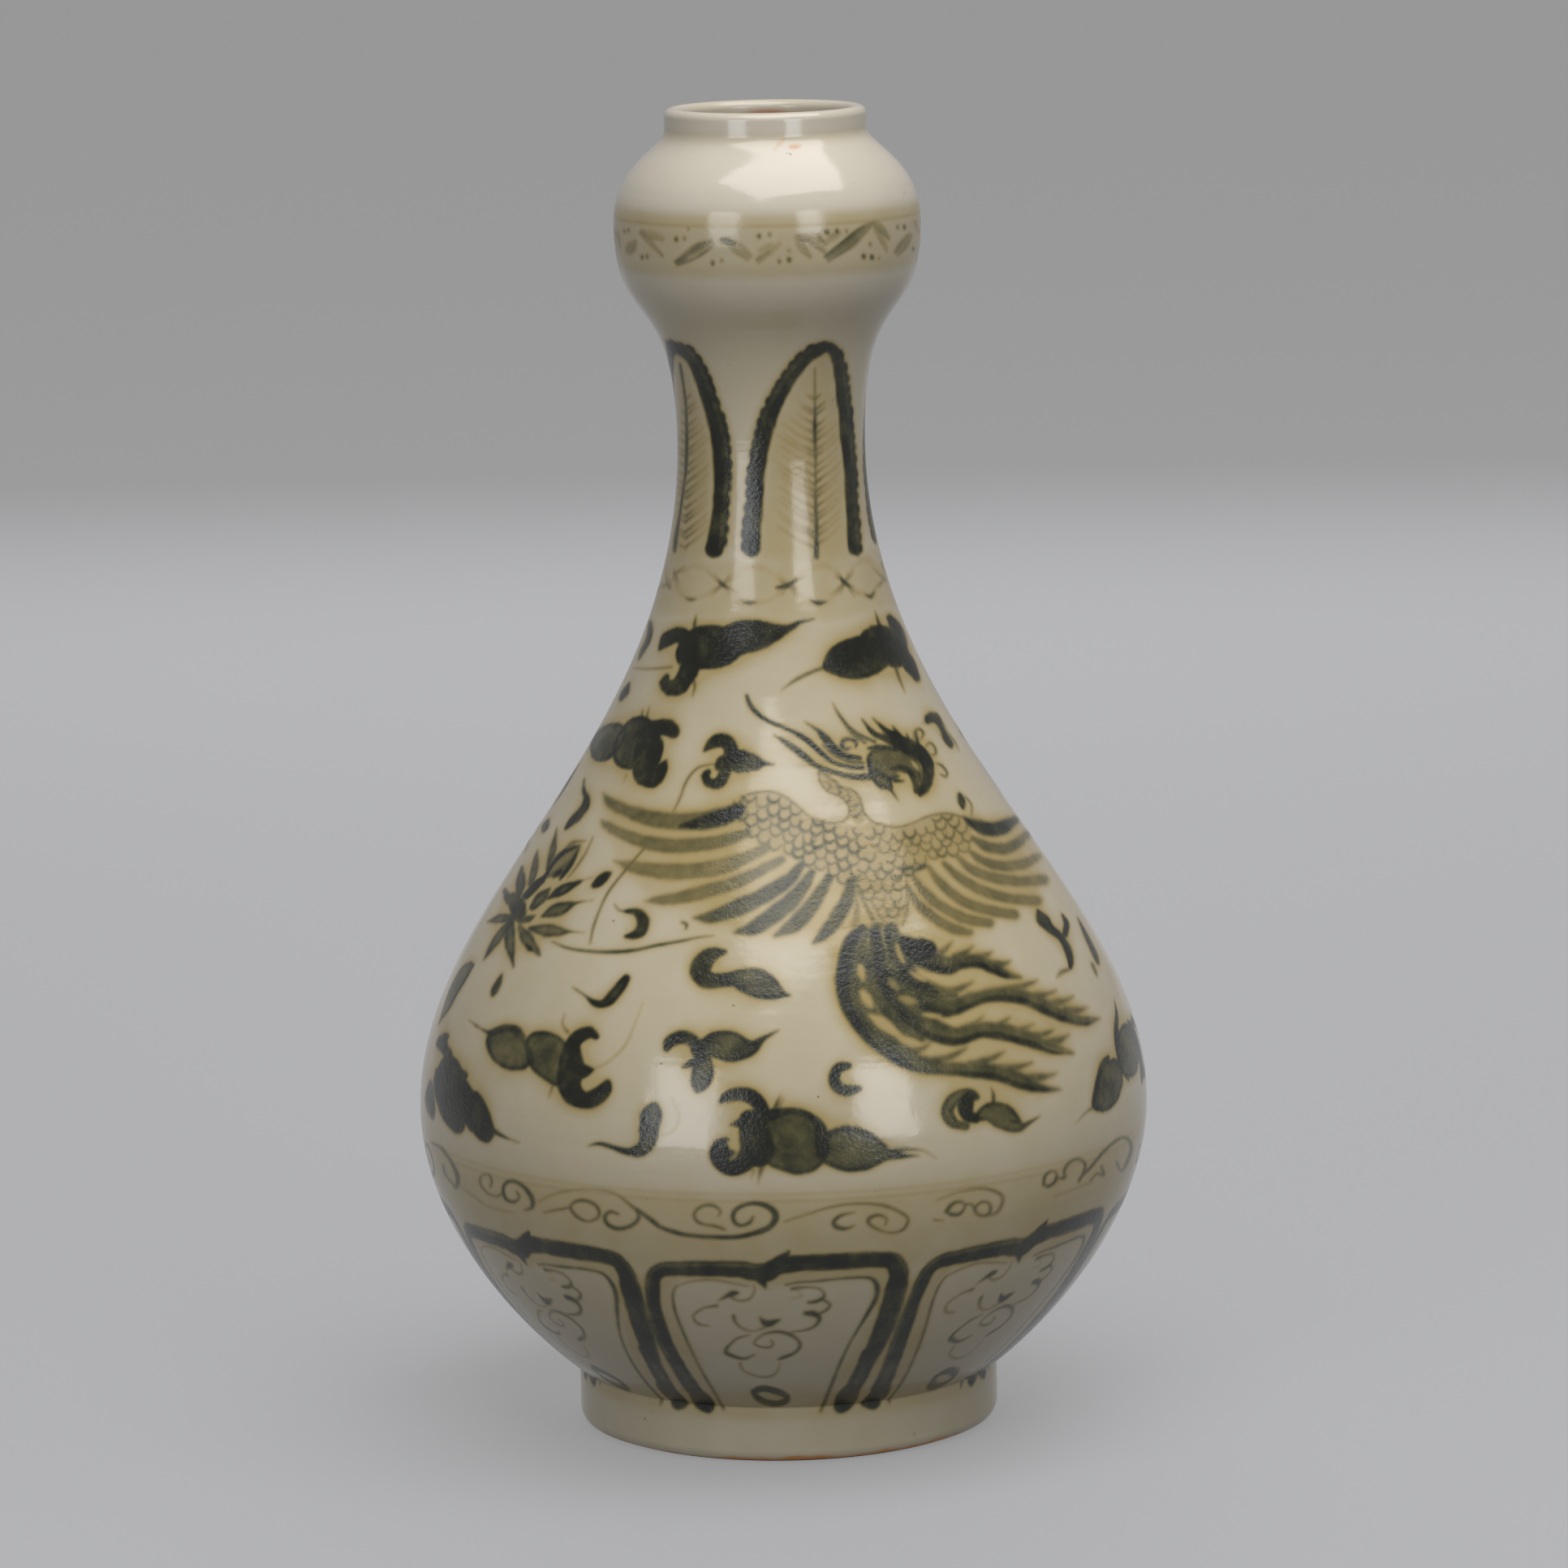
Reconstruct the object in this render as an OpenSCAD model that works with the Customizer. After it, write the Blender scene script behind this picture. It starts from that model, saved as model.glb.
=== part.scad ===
// Garlic head vase: a glazed stoneware bottle with a round belly on a ring foot, a long tapering
// neck, and a garlic bulb with a short collar at the mouth.
// It is thrown in sections. Each section has a stepped rim, and the sections are luted with slip.
// Sizes are in millimetres, +Z is up, and the foot rests on Z = 0 with the axis at X = Y = 0.

/* [Foot] */
// Outside diameter of the glazed foot
foot_d = 99; // [80:0.5:120]
// Height of the foot ring, up to the crease under the belly
foot_h = 13.5; // [10:0.5:20]
// Thickness of the foot ring
foot_wall = 7; // [6:0.5:12]
// Radius of the rounded outer lower edge of the foot
foot_round_r = 3.2; // [1.5:0.1:4]
// Bevel on the inner lower edge of the foot
foot_bevel = 1.2; // [0.5:0.1:2]
// Depth of the boss on the belly that the foot ring sits around
boss_h = 4.5; // [2:0.5:7]

/* [Belly] */
// Diameter of the belly at its girth
belly_d = 171.5; // [140:0.5:210]
// Height from the foot's crease to the girth
belly_rise = 62.3; // [45:0.1:80]
// Angle above level at which the belly leaves the foot
belly_leave_deg = 38; // [25:1:60]
// Fullness of the belly just above the foot
belly_foot_full = 0.38; // [0.2:0.01:0.5]
// Fullness of the belly below its girth
belly_low_full = 0.38; // [0.2:0.01:0.6]
// Fullness of the belly above its girth
belly_high_full = 0.317; // [0.2:0.001:0.5]

/* [Neck] */
// Diameter of the neck at its narrowest
neck_d = 43.7; // [36:0.1:54]
// Height from the girth to the narrowest part of the neck
neck_rise = 157.2; // [120:0.1:200]
// How far down the neck stays slender
neck_slender = 0.46; // [0.3:0.01:0.6]

/* [Bulb] */
// Diameter of the garlic bulb
bulb_d = 71.2; // [62:0.1:84]
// Height from the narrowest part of the neck to the bulb's girth
bulb_rise = 50.5; // [40:0.1:65]
// How far up the neck stays slender under the bulb
bulb_neck_hold = 0.72; // [0.4:0.01:0.8]
// Fullness of the bulb below its girth
bulb_low_full = 0.51; // [0.3:0.01:0.7]
// Fullness of the bulb above its girth
bulb_high_full = 0.6; // [0.4:0.01:0.7]
// Height from the bulb's girth to the foot of the collar
crown_rise = 19.3; // [15:0.1:24]
// Angle above level at which the bulb runs into the collar
crown_deg = 51; // [35:1:60]
// Fullness of the bulb next to the collar
crown_full = 0.21; // [0.1:0.01:0.3]

/* [Mouth] */
// Outside diameter of the collar
collar_d = 46.8; // [44:0.1:52]
// Height of the collar, up to the crest of the lip
collar_h = 7.2; // [6:0.1:10]
// Radial reach of the hollow curve at the foot of the collar
collar_hollow = 1; // [0.5:0.1:2]
// Height of the hollow curve at the foot of the collar
collar_hollow_h = 2.4; // [1:0.1:3]
// Diameter of the glazed mouth
mouth_d = 39.4; // [36:0.1:41]

/* [Walls] */
// Thickness of the clay wall at the foot
wall_foot = 7; // [6:0.1:9]
// Thickness of the clay wall at the girth
wall_belly = 5; // [4:0.1:7]
// Thickness of the clay wall at the neck
wall_neck = 5; // [4:0.1:6]
// Thickness of the clay wall at the bulb's girth
wall_bulb = 4.2; // [3.6:0.1:5]
// Thickness of the clay wall at the collar
wall_crown = 3.8; // [3.4:0.1:4.2]
// Height of the inside floor above the foot's crease
floor_rise = 3.5; // [2.5:0.1:5]

/* [Joints] */
// Thickness of the slip in every joint
slip_t = 0.4; // [0.2:0.05:0.6]
// Height of the step in each section's rim
lap_h = 4; // [3:0.1:5]
// Height of the belly's joint above the girth
belly_joint_rise = 4; // [2:0.5:12]
// Depth of the joint between belly and neck below the narrowest part
neck_joint_drop = 43; // [30:0.5:60]
// Height of the joint between neck and bulb above the narrowest part
bulb_joint_rise = 16; // [10:0.5:20]
// Depth of the collar's joint below the foot of the collar
collar_joint_drop = 5; // [4.5:0.1:6]

/* [Glaze] */
// Thickness of the glaze, outside and inside
glaze_t = 0.5; // [0.3:0.05:0.7]
// Height on the rounded foot where the glaze was wiped back
glaze_stop = 1.2; // [0.8:0.1:1.4]

/* [Hidden] */
$fn = 160;
// Length of the straight steps that each curve of the outline is drawn with, from the foot up
step_len = [4, 5, 2.5, 1.5, 0.5];
// Straight steps along a stepped rim, and round the lip and the foot's lower edge
rim_steps = 3;
round_steps = 8;
// Widest inward reach of the bevel round the inside floor
floor_bevel = 4;
clay_col = [0.78, 0.62, 0.47];
slip_col = [0.86, 0.74, 0.60];
glaze_col = [0.82, 0.76, 0.64];

// Radii and heights of the places that the outline passes through
foot_r = foot_d / 2;
belly_r = belly_d / 2;
neck_r = neck_d / 2;
bulb_r = bulb_d / 2;
collar_r = collar_d / 2;
mouth_r = mouth_d / 2;
girth_z = foot_h + belly_rise;
neck_z = girth_z + neck_rise;
bulb_z = neck_z + bulb_rise;
crown_z = bulb_z + crown_rise;
crown_r = collar_r + collar_hollow;
total_h = crown_z + collar_h;
lip_r = (collar_r - mouth_r) / 2;
lip_mid_r = (collar_r + mouth_r) / 2;
lip_z = total_h - lip_r;
foot_clay_r = foot_r - glaze_t;
foot_in_r = foot_clay_r - foot_wall;
boss_r = foot_in_r - slip_t;
base_z = foot_h - boss_h;
floor_z = foot_h + floor_rise;

// The outline in profile, as [radius, height]: each curve has two end points and two handles
function aim(from, deg, reach) = from + reach * [cos(deg), sin(deg)];
LOW = 0;
HIGH = 1;
BULB = 2;
CROWN = 3;
HOLLOW = 4;
crown_at = [crown_r, crown_z];
crown_end = [collar_r, crown_z + collar_hollow_h];
curve = [
  [[foot_r, foot_h],
   aim([foot_r, foot_h], belly_leave_deg, belly_foot_full * belly_rise),
   [belly_r, girth_z - belly_low_full * belly_rise],
   [belly_r, girth_z]],
  [[belly_r, girth_z],
   [belly_r, girth_z + belly_high_full * neck_rise],
   [neck_r, neck_z - neck_slender * neck_rise],
   [neck_r, neck_z]],
  [[neck_r, neck_z],
   [neck_r, neck_z + bulb_neck_hold * bulb_rise],
   [bulb_r, bulb_z - bulb_low_full * bulb_rise],
   [bulb_r, bulb_z]],
  [[bulb_r, bulb_z],
   [bulb_r, bulb_z + bulb_high_full * crown_rise],
   aim(crown_at, -crown_deg, crown_full * crown_rise),
   crown_at],
  [crown_at,
   aim(crown_at, 180 - crown_deg, collar_hollow / 2),
   crown_end - [0, collar_hollow_h / 2],
   crown_end]
];
wall_ends = [wall_foot, wall_belly, wall_neck, wall_bulb, wall_crown];

// Point and outward direction on curve s, where t runs from 0 to 1 going up
function blend(p, t) = p[0] * pow(1 - t, 3) + 3 * p[1] * t * pow(1 - t, 2)
                       + 3 * p[2] * t * t * (1 - t) + p[3] * pow(t, 3);
function along(p, t) = (p[1] - p[0]) * pow(1 - t, 2) + 2 * (p[2] - p[1]) * t * (1 - t)
                       + (p[3] - p[2]) * t * t;
function outward(s, t) = let (v = along(curve[s], t)) [v[1], -v[0]] / norm(v);
function under(s, t, depth) = blend(curve[s], t) - depth * outward(s, t);

// Clay wall: its thickness, its outer and inner face, and the faces of the step in a rim
function wall(s, t) = wall_ends[s] + (wall_ends[s + 1] - wall_ends[s]) * t;
function clay_out(s, t) = under(s, t, glaze_t);
function clay_in(s, t) = under(s, t, glaze_t + wall(s, t));
function glaze_in(s, t) = under(s, t, glaze_t + wall(s, t) + glaze_t);
function step_low(s, t) = under(s, t, glaze_t + (wall(s, t) + slip_t) / 2);
function step_high(s, t) = under(s, t, glaze_t + (wall(s, t) - slip_t) / 2);

// Place on curve s that is at height z
function place(s, z, lo = 0, hi = 1, n = 24) =
  let (mid = (lo + hi) / 2)
  n == 0 ? mid
  : blend(curve[s], mid)[1] < z ? place(s, z, mid, hi, n - 1) : place(s, z, lo, mid, n - 1);

// A joint is [curve, lower rim, upper rim, lower step, upper step]
function joint(s, z) = [s, place(s, z - slip_t / 2), place(s, z + slip_t / 2),
                        place(s, z + lap_h - slip_t / 2), place(s, z + lap_h + slip_t / 2)];
belly_joint = joint(HIGH, girth_z + belly_joint_rise);
neck_joint = joint(HIGH, neck_z - neck_joint_drop);
bulb_joint = joint(BULB, neck_z + bulb_joint_rise);
collar_joint = joint(CROWN, crown_z - collar_joint_drop);

// Runs of points along one face of one curve, from place a to place b
function steps(a, b, n) = [for (i = [0 : n]) a + (b - a) * i / n];
function span(s, a, b) = norm(blend(curve[s], b) - blend(curve[s], a));
function pace(s, a, b) = steps(a, b, ceil(span(s, a, b) / step_len[s]));
function run_out(s, a, b) = [for (t = pace(s, a, b)) clay_out(s, t)];
function run_in(s, a, b) = [for (t = pace(s, a, b)) clay_in(s, t)];
function run_glaze(s, a, b) = [for (t = pace(s, a, b)) glaze_in(s, t)];
function run_face(s, a, b) = [for (t = pace(s, a, b)) under(s, t, 0)];
function rest(list) = [for (i = [1 : len(list) - 1]) list[i]];
function back(list) = [for (i = [len(list) - 1 : -1 : 0]) list[i]];
function arc(r, z, rad, a, b) = [for (d = steps(a, b, round_steps)) [r, z] + rad * [cos(d), sin(d)]];

// The stepped rim below a joint and the one above it, without their ends on the wall's two faces
function rim_low(j) = [for (t = steps(j[1], j[3], rim_steps)) step_low(j[0], t)];
function rim_high(j) = [for (t = steps(j[2], j[4], rim_steps)) step_high(j[0], t)];

// Outer and inner faces of each section, going up
foot_stop_deg = asin((foot_round_r - glaze_stop) / foot_round_r);
foot_edge_r = foot_clay_r - foot_round_r;
foot_bare = arc(foot_edge_r, foot_round_r, foot_round_r, -90, -foot_stop_deg);
foot_glazed = arc(foot_edge_r, foot_round_r, foot_round_r, -foot_stop_deg, 0);
foot_top = [foot_clay_r, foot_h - slip_t / 2];
low_start = [foot_clay_r, foot_h + slip_t / 2];
low_out = concat([low_start], run_out(LOW, 0, 1), rest(run_out(HIGH, 0, belly_joint[1])));
low_in = concat(run_in(LOW, 0, 1), rest(run_in(HIGH, 0, belly_joint[3])));
high_out = run_out(HIGH, belly_joint[2], neck_joint[1]);
high_in = run_in(HIGH, belly_joint[4], neck_joint[3]);
neck_out = concat(run_out(HIGH, neck_joint[2], 1), rest(run_out(BULB, 0, bulb_joint[1])));
neck_in = concat(run_in(HIGH, neck_joint[4], 1), rest(run_in(BULB, 0, bulb_joint[3])));
bulb_out = concat(run_out(BULB, bulb_joint[2], 1), rest(run_out(CROWN, 0, collar_joint[1])));
bulb_in = concat(run_in(BULB, bulb_joint[4], 1), rest(run_in(CROWN, 0, collar_joint[3])));
collar_out = concat(run_out(CROWN, collar_joint[2], 1), rest(run_out(HOLLOW, 0, 1)),
                    arc(lip_mid_r, lip_z, lip_r - glaze_t, 0, 90));
collar_in = concat(run_in(CROWN, collar_joint[4], 1), [[mouth_r + glaze_t, crown_z]],
                   arc(lip_mid_r, lip_z, lip_r - glaze_t, 180, 90));
floor_corner = [low_in[0][0] - floor_bevel, floor_z];

module turn(points) rotate_extrude() polygon(points);

// Slip in a stepped joint between two sections
module luting(j) color(slip_col)
  turn(concat([clay_out(j[0], j[1])], rim_low(j), [clay_in(j[0], j[3])],
              [clay_in(j[0], j[4])], back(rim_high(j)), [clay_out(j[0], j[2])]));

module foot_ring() color(clay_col)
  turn(concat([[foot_in_r + foot_bevel, 0]], foot_bare, rest(foot_glazed),
              [foot_top, [foot_in_r, foot_top[1]], [foot_in_r, foot_bevel]]));

module foot_slip() color(slip_col)
  turn([foot_top, low_start, [boss_r, low_start[1]], [boss_r, base_z], [foot_in_r, base_z],
        [foot_in_r, foot_top[1]]]);

module lower_belly() color(clay_col)
  turn(concat([[0, base_z], [boss_r, base_z], [boss_r, low_start[1]]], low_out, rim_low(belly_joint),
              back(low_in), [floor_corner, [0, floor_z]]));

module belly_slip() luting(belly_joint);

module upper_belly() color(clay_col)
  turn(concat(high_out, rim_low(neck_joint), back(high_in), back(rim_high(belly_joint))));

module neck_slip() luting(neck_joint);

module neck() color(clay_col)
  turn(concat(neck_out, rim_low(bulb_joint), back(neck_in), back(rim_high(neck_joint))));

module bulb_slip() luting(bulb_joint);

module garlic_bulb() color(clay_col)
  turn(concat(bulb_out, rim_low(collar_joint), back(bulb_in), back(rim_high(bulb_joint))));

module collar_slip() luting(collar_joint);

module mouth_collar() color(clay_col)
  turn(concat(collar_out, rest(back(collar_in)), back(rim_high(collar_joint))));

// The outer glaze runs from the wiped foot to the crest of the lip
module outer_glaze() color(glaze_col)
  turn(concat(foot_glazed, [foot_top], low_out, high_out, neck_out, bulb_out, collar_out,
              back(concat(arc(foot_edge_r, foot_round_r, foot_round_r + glaze_t, -foot_stop_deg, 0),
                          run_face(LOW, 0, 1), rest(run_face(HIGH, 0, 1)), rest(run_face(BULB, 0, 1)),
                          rest(run_face(CROWN, 0, 1)), rest(run_face(HOLLOW, 0, 1)),
                          arc(lip_mid_r, lip_z, lip_r, 0, 90)))));

// The inner glaze runs from the crest of the lip to the middle of the floor
module inner_glaze() color(glaze_col)
  turn(concat([[0, floor_z], floor_corner], low_in, high_in, neck_in, bulb_in, collar_in,
              back(concat([[0, floor_z + glaze_t], floor_corner + [0, glaze_t]],
                          run_glaze(LOW, 0, 1), rest(run_glaze(HIGH, 0, 1)), rest(run_glaze(BULB, 0, 1)),
                          rest(run_glaze(CROWN, 0, 1)), [[mouth_r, crown_z]],
                          arc(lip_mid_r, lip_z, lip_r, 180, 90)))));

foot_ring();
foot_slip();
lower_belly();
belly_slip();
upper_belly();
neck_slip();
neck();
bulb_slip();
garlic_bulb();
collar_slip();
mouth_collar();
outer_glaze();
inner_glaze();
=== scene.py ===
import math

import bmesh
import bpy
import numpy as np
from mathutils import Matrix, Vector


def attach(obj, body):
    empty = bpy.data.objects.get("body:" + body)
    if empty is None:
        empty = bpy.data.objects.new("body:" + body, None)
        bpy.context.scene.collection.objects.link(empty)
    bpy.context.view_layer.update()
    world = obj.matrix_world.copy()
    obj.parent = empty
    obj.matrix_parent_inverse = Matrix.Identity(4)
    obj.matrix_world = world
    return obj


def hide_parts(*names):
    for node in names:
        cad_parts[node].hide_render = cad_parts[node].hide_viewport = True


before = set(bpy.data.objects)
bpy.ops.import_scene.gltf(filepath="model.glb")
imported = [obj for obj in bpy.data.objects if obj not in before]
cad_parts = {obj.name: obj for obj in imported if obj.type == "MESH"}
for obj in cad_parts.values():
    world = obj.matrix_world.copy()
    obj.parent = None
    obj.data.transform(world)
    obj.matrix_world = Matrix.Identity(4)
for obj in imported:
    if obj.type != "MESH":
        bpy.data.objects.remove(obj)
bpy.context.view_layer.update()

# Looks of the garlic head vase. The brushwork is painted stroke by stroke, in pixels of the photograph,
# on an unrolled canvas, and then laid on nine rings of glaze that stand for the outer glaze of the CAD

MM = 0.001

# Outline of the vase in millimetres, the same sizes as in the CAD source
FOOT_R = 49.5
FOOT_H = 13.5
FOOT_ROUND_R = 3.7
FOOT_ROUND_MID = (45.8, 3.2)
FOOT_STOP_DEG = -38.7
BELLY_R = 85.75
GIRTH_Z = 75.8
NECK_R = 21.85
NECK_Z = 233.0
BULB_R = 35.6
BULB_Z = 283.5
CROWN = (24.4, 302.8)
COLLAR_R = 23.4
COLLAR_Z = 305.2
MOUTH_R = 19.7
LIP_R = 1.85
LIP_MID = (21.55, 308.15)
FLOOR_Z = 17.0
FLOOR_BEVEL = 4.0
GLAZE_T = 0.5
GLAZE_BACK = 0.45
# Thickness of the wall at the foot, the girth, the neck, the bulb and the collar
WALL_ENDS = (7.0, 5.0, 5.0, 4.2, 3.8)
# Angles of the outline, and the fullness of each curve at its two ends
BELLY_LEAVE_DEG = 38
BELLY_FOOT_FULL = 0.38
BELLY_LOW_FULL = 0.38
BELLY_HIGH_FULL = 0.317
NECK_SLENDER = 0.46
BULB_NECK_HOLD = 0.72
BULB_LOW_FULL = 0.51
BULB_HIGH_FULL = 0.6
CROWN_DEG = 51
CROWN_FULL = 0.21
HOLLOW_FULL = 0.5
# Points on each rounded edge and on each curve, and how close two points are one
ARC_COUNT = 24
CURVE_COUNT = 400
SAME_PLACE = 1e-6
# Half the stretch of outline that a slope is read from
SLOPE_STEP = 0.05

# The photograph's camera: place in millimetres, angles in degrees, focal length in photo pixels
PHOTO_PX = 1932
PHOTO_MID = PHOTO_PX / 2
FOCAL_PX = 8789.0
CAMERA_AT = (1.5, -1650.0, 430.0)
CAMERA_PITCH = 9.59
CAMERA_ROLL = 1.07
SENSOR_MM = 36.0
CLIP_NEAR = 0.05
CLIP_FAR = 200.0

# The unrolled canvas that the brushwork is painted on
CANVAS_COLS = 2400
CANVAS_ROW_MM = 0.23


# Outline

def aim(start, degrees, reach):
    angle = math.radians(degrees)
    return (start[0] + reach * math.cos(angle), start[1] + reach * math.sin(angle))


BELLY_RISE = GIRTH_Z - FOOT_H
NECK_RISE = NECK_Z - GIRTH_Z
BULB_RISE = BULB_Z - NECK_Z
CROWN_RISE = CROWN[1] - BULB_Z
HOLLOW_H = COLLAR_Z - CROWN[1]

LOW_CURVE = [(FOOT_R, FOOT_H),
             aim((FOOT_R, FOOT_H), BELLY_LEAVE_DEG, BELLY_FOOT_FULL * BELLY_RISE),
             (BELLY_R, GIRTH_Z - BELLY_LOW_FULL * BELLY_RISE),
             (BELLY_R, GIRTH_Z)]
HIGH_CURVE = [(BELLY_R, GIRTH_Z),
              (BELLY_R, GIRTH_Z + BELLY_HIGH_FULL * NECK_RISE),
              (NECK_R, NECK_Z - NECK_SLENDER * NECK_RISE),
              (NECK_R, NECK_Z)]
BULB_CURVE = [(NECK_R, NECK_Z),
              (NECK_R, NECK_Z + BULB_NECK_HOLD * BULB_RISE),
              (BULB_R, BULB_Z - BULB_LOW_FULL * BULB_RISE),
              (BULB_R, BULB_Z)]
CROWN_CURVE = [(BULB_R, BULB_Z),
               (BULB_R, BULB_Z + BULB_HIGH_FULL * CROWN_RISE),
               aim(CROWN, -CROWN_DEG, CROWN_FULL * CROWN_RISE),
               CROWN]
HOLLOW_CURVE = [CROWN,
                aim(CROWN, 180 - CROWN_DEG, HOLLOW_FULL),
                (COLLAR_R, COLLAR_Z - HOLLOW_H / 2),
                (COLLAR_R, COLLAR_Z)]


def unit(rows):
    """Each row scaled to a length of one."""
    return rows / np.linalg.norm(rows, axis=1)[:, None]


def bezier(curve, count):
    """Points and outward directions along one curve."""
    p = np.array(curve, float)
    t = np.linspace(0, 1, count)[:, None]
    u = 1 - t
    points = u ** 3 * p[0] + 3 * u * u * t * p[1] + 3 * u * t * t * p[2] + t ** 3 * p[3]
    run = unit(u * u * (p[1] - p[0]) + 2 * u * t * (p[2] - p[1]) + t * t * (p[3] - p[2]))
    outward = np.stack([run[:, 1], -run[:, 0]], axis=1)
    return points, outward


def arc(middle, radius, start, end, count):
    angles = np.radians(np.linspace(start, end, count))
    return np.stack([middle[0] + radius * np.cos(angles), middle[1] + radius * np.sin(angles)], axis=1)


def join(parts):
    """One list of points, without the doubles where the parts meet."""
    points = np.concatenate(parts)
    step = np.hypot(*np.diff(points, axis=0).T)
    return points[np.r_[True, step > SAME_PLACE]]


def lengths(points):
    return np.r_[0.0, np.cumsum(np.hypot(*np.diff(points, axis=0).T))]


def outer_outline():
    parts = [arc(FOOT_ROUND_MID, FOOT_ROUND_R, FOOT_STOP_DEG, 0, ARC_COUNT)]
    for curve in (LOW_CURVE, HIGH_CURVE, BULB_CURVE, CROWN_CURVE, HOLLOW_CURVE):
        parts.append(bezier(curve, CURVE_COUNT)[0])
    parts.append(arc(LIP_MID, LIP_R, 0, 90, ARC_COUNT))
    return join(parts)


OUTLINE = outer_outline()
OUTLINE_S = lengths(OUTLINE)
TOTAL_S = OUTLINE_S[-1]


def place_at(s):
    """Places on the outline at lengths along it, as (radius, height)."""
    return np.stack([np.interp(s, OUTLINE_S, OUTLINE[:, 0]), np.interp(s, OUTLINE_S, OUTLINE[:, 1])], axis=1)


def s_at_height(z):
    return np.interp(z, OUTLINE[:, 1], OUTLINE_S)


def outline_slope(s):
    """Outward direction of the outline, as (radius, height)."""
    s = np.clip(s, SLOPE_STEP, TOTAL_S - SLOPE_STEP)
    run = unit(place_at(s + SLOPE_STEP) - place_at(s - SLOPE_STEP))
    return np.stack([run[:, 1], -run[:, 0]], axis=1)


def turned(pairs, azimuth):
    """Places or directions as (radius, height), turned round the axis into a grid of (x, y, z)."""
    radius = pairs[:, :1]
    height = np.repeat(pairs[:, 1:], len(azimuth), axis=1)
    return np.stack([radius * np.sin(azimuth), -radius * np.cos(azimuth), height], axis=2)


# Camera

def camera_turn():
    pitch = math.radians(90 - CAMERA_PITCH)
    roll = math.radians(-CAMERA_ROLL)
    return Matrix.Rotation(pitch, 4, "X") @ Matrix.Rotation(roll, 4, "Z")


def make_camera():
    data = bpy.data.cameras.new("photo_camera")
    data.sensor_width = SENSOR_MM
    data.sensor_fit = "HORIZONTAL"
    data.lens = FOCAL_PX * SENSOR_MM / PHOTO_PX
    data.clip_start = CLIP_NEAR
    data.clip_end = CLIP_FAR
    camera = bpy.data.objects.new("photo_camera", data)
    camera.matrix_world = Matrix.Translation(Vector(CAMERA_AT) * MM) @ camera_turn()
    bpy.context.scene.collection.objects.link(camera)
    bpy.context.scene.camera = camera


# Brushwork: the unrolled canvas, and where the photograph shows each place of it

CANVAS_ROWS = int(TOTAL_S / CANVAS_ROW_MM) + 2
ROW_S = np.arange(CANVAS_ROWS) * CANVAS_ROW_MM
ROW_PLACES = place_at(ROW_S)
ROW_R = ROW_PLACES[:, 0]
ROW_Z = ROW_PLACES[:, 1]
COL_STEP = 2 * math.pi / CANVAS_COLS
# Just short of the last row, so that there is always a row after
LAST_ROW = CANVAS_ROWS - 1.001
# The front canvas reaches this many degrees to each side
FRONT_HALF_DEG = 105
FRONT_HALF = FRONT_HALF_DEG * CANVAS_COLS // 360
# A place faces the camera fully at one, and is painted a little past the edge that it sees, at zero
FACING_LEAST = -0.22
# Past that edge a stroke narrows by this many photo pixels per unit of facing away
LIMB_CLOSE_PX = 110.0
# A stroke in photo pixels: softness of its edge, step along it, least width, reach of its search
EDGE_PX = 3.8
STROKE_STEP_PX = 5.0
THINNEST_PX = 0.6
BLOCK_MARGIN_PX = 8
STRETCH_MARGIN_PX = 6
# Stand-ins for a place that no stroke reaches, and for one that the photograph hides
UNTOUCHED_PX = 99.0
UNSEEN_PX = 9999.0
# Only every so many rows and columns are looked at to find a stroke's block of the canvas
COARSE = 6
# A wash gathers at its rim, by this much tone, if its own tone lies between these
POOL_TONE = 0.2
POOL_LEAST = 0.3
POOL_MOST = 0.85
# How far inside the edge it gathers and how wide, in photo pixels, and the most ink of all
POOL_PX = 2.6
POOL_WIDE_PX = 2.4
INK_MOST = 0.98
# The hand's tremor in photo pixels, its canvas cells, and the width of brush that shows all of it
TREMOR_PX = 0.45
TREMOR_CELL = 9
TREMOR_SEED = 11
TREMOR_FULL_PX = 12.0
# Least length of a stretch, squared, so that nothing is divided by zero
TINY = 1e-9
ink = np.zeros((CANVAS_ROWS, CANVAS_COLS), np.float32)
tint = np.zeros((CANVAS_ROWS, CANVAS_COLS), np.float32)
rust = np.zeros((CANVAS_ROWS, CANVAS_COLS), np.float32)


def photo_places():
    """Photo pixel of each canvas place on the front, and how far strokes close there."""
    azimuth = np.arange(-FRONT_HALF, FRONT_HALF + 1) * COL_STEP
    spots = turned(ROW_PLACES, azimuth) - np.array(CAMERA_AT)
    outward = turned(outline_slope(ROW_S), azimuth)
    facing = -(spots * outward).sum(axis=2) / np.linalg.norm(spots, axis=2)
    seen = spots @ np.array(camera_turn().to_3x3())
    x = PHOTO_MID - FOCAL_PX * seen[..., 0] / seen[..., 2]
    y = PHOTO_MID + FOCAL_PX * seen[..., 1] / seen[..., 2]
    x[facing < FACING_LEAST] = -UNSEEN_PX
    closing = LIMB_CLOSE_PX * np.maximum(-facing, 0)
    return x.astype(np.float32), y.astype(np.float32), closing.astype(np.float32)


photo_x, photo_y, limb_closing = photo_places()


def between(grid, row, column):
    """Values of a grid at broken rows and columns, blended. The last column is followed by the first."""
    i = row.astype(int)
    j = column.astype(int)
    k = (j + 1) % grid.shape[1]
    fi = (row - i)[:, None]
    fj = (column - j)[None, :]
    top = grid[i][:, j] * (1 - fj) + grid[i][:, k] * fj
    low = grid[i + 1][:, j] * (1 - fj) + grid[i + 1][:, k] * fj
    return top * (1 - fi) + low * fi


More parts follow.
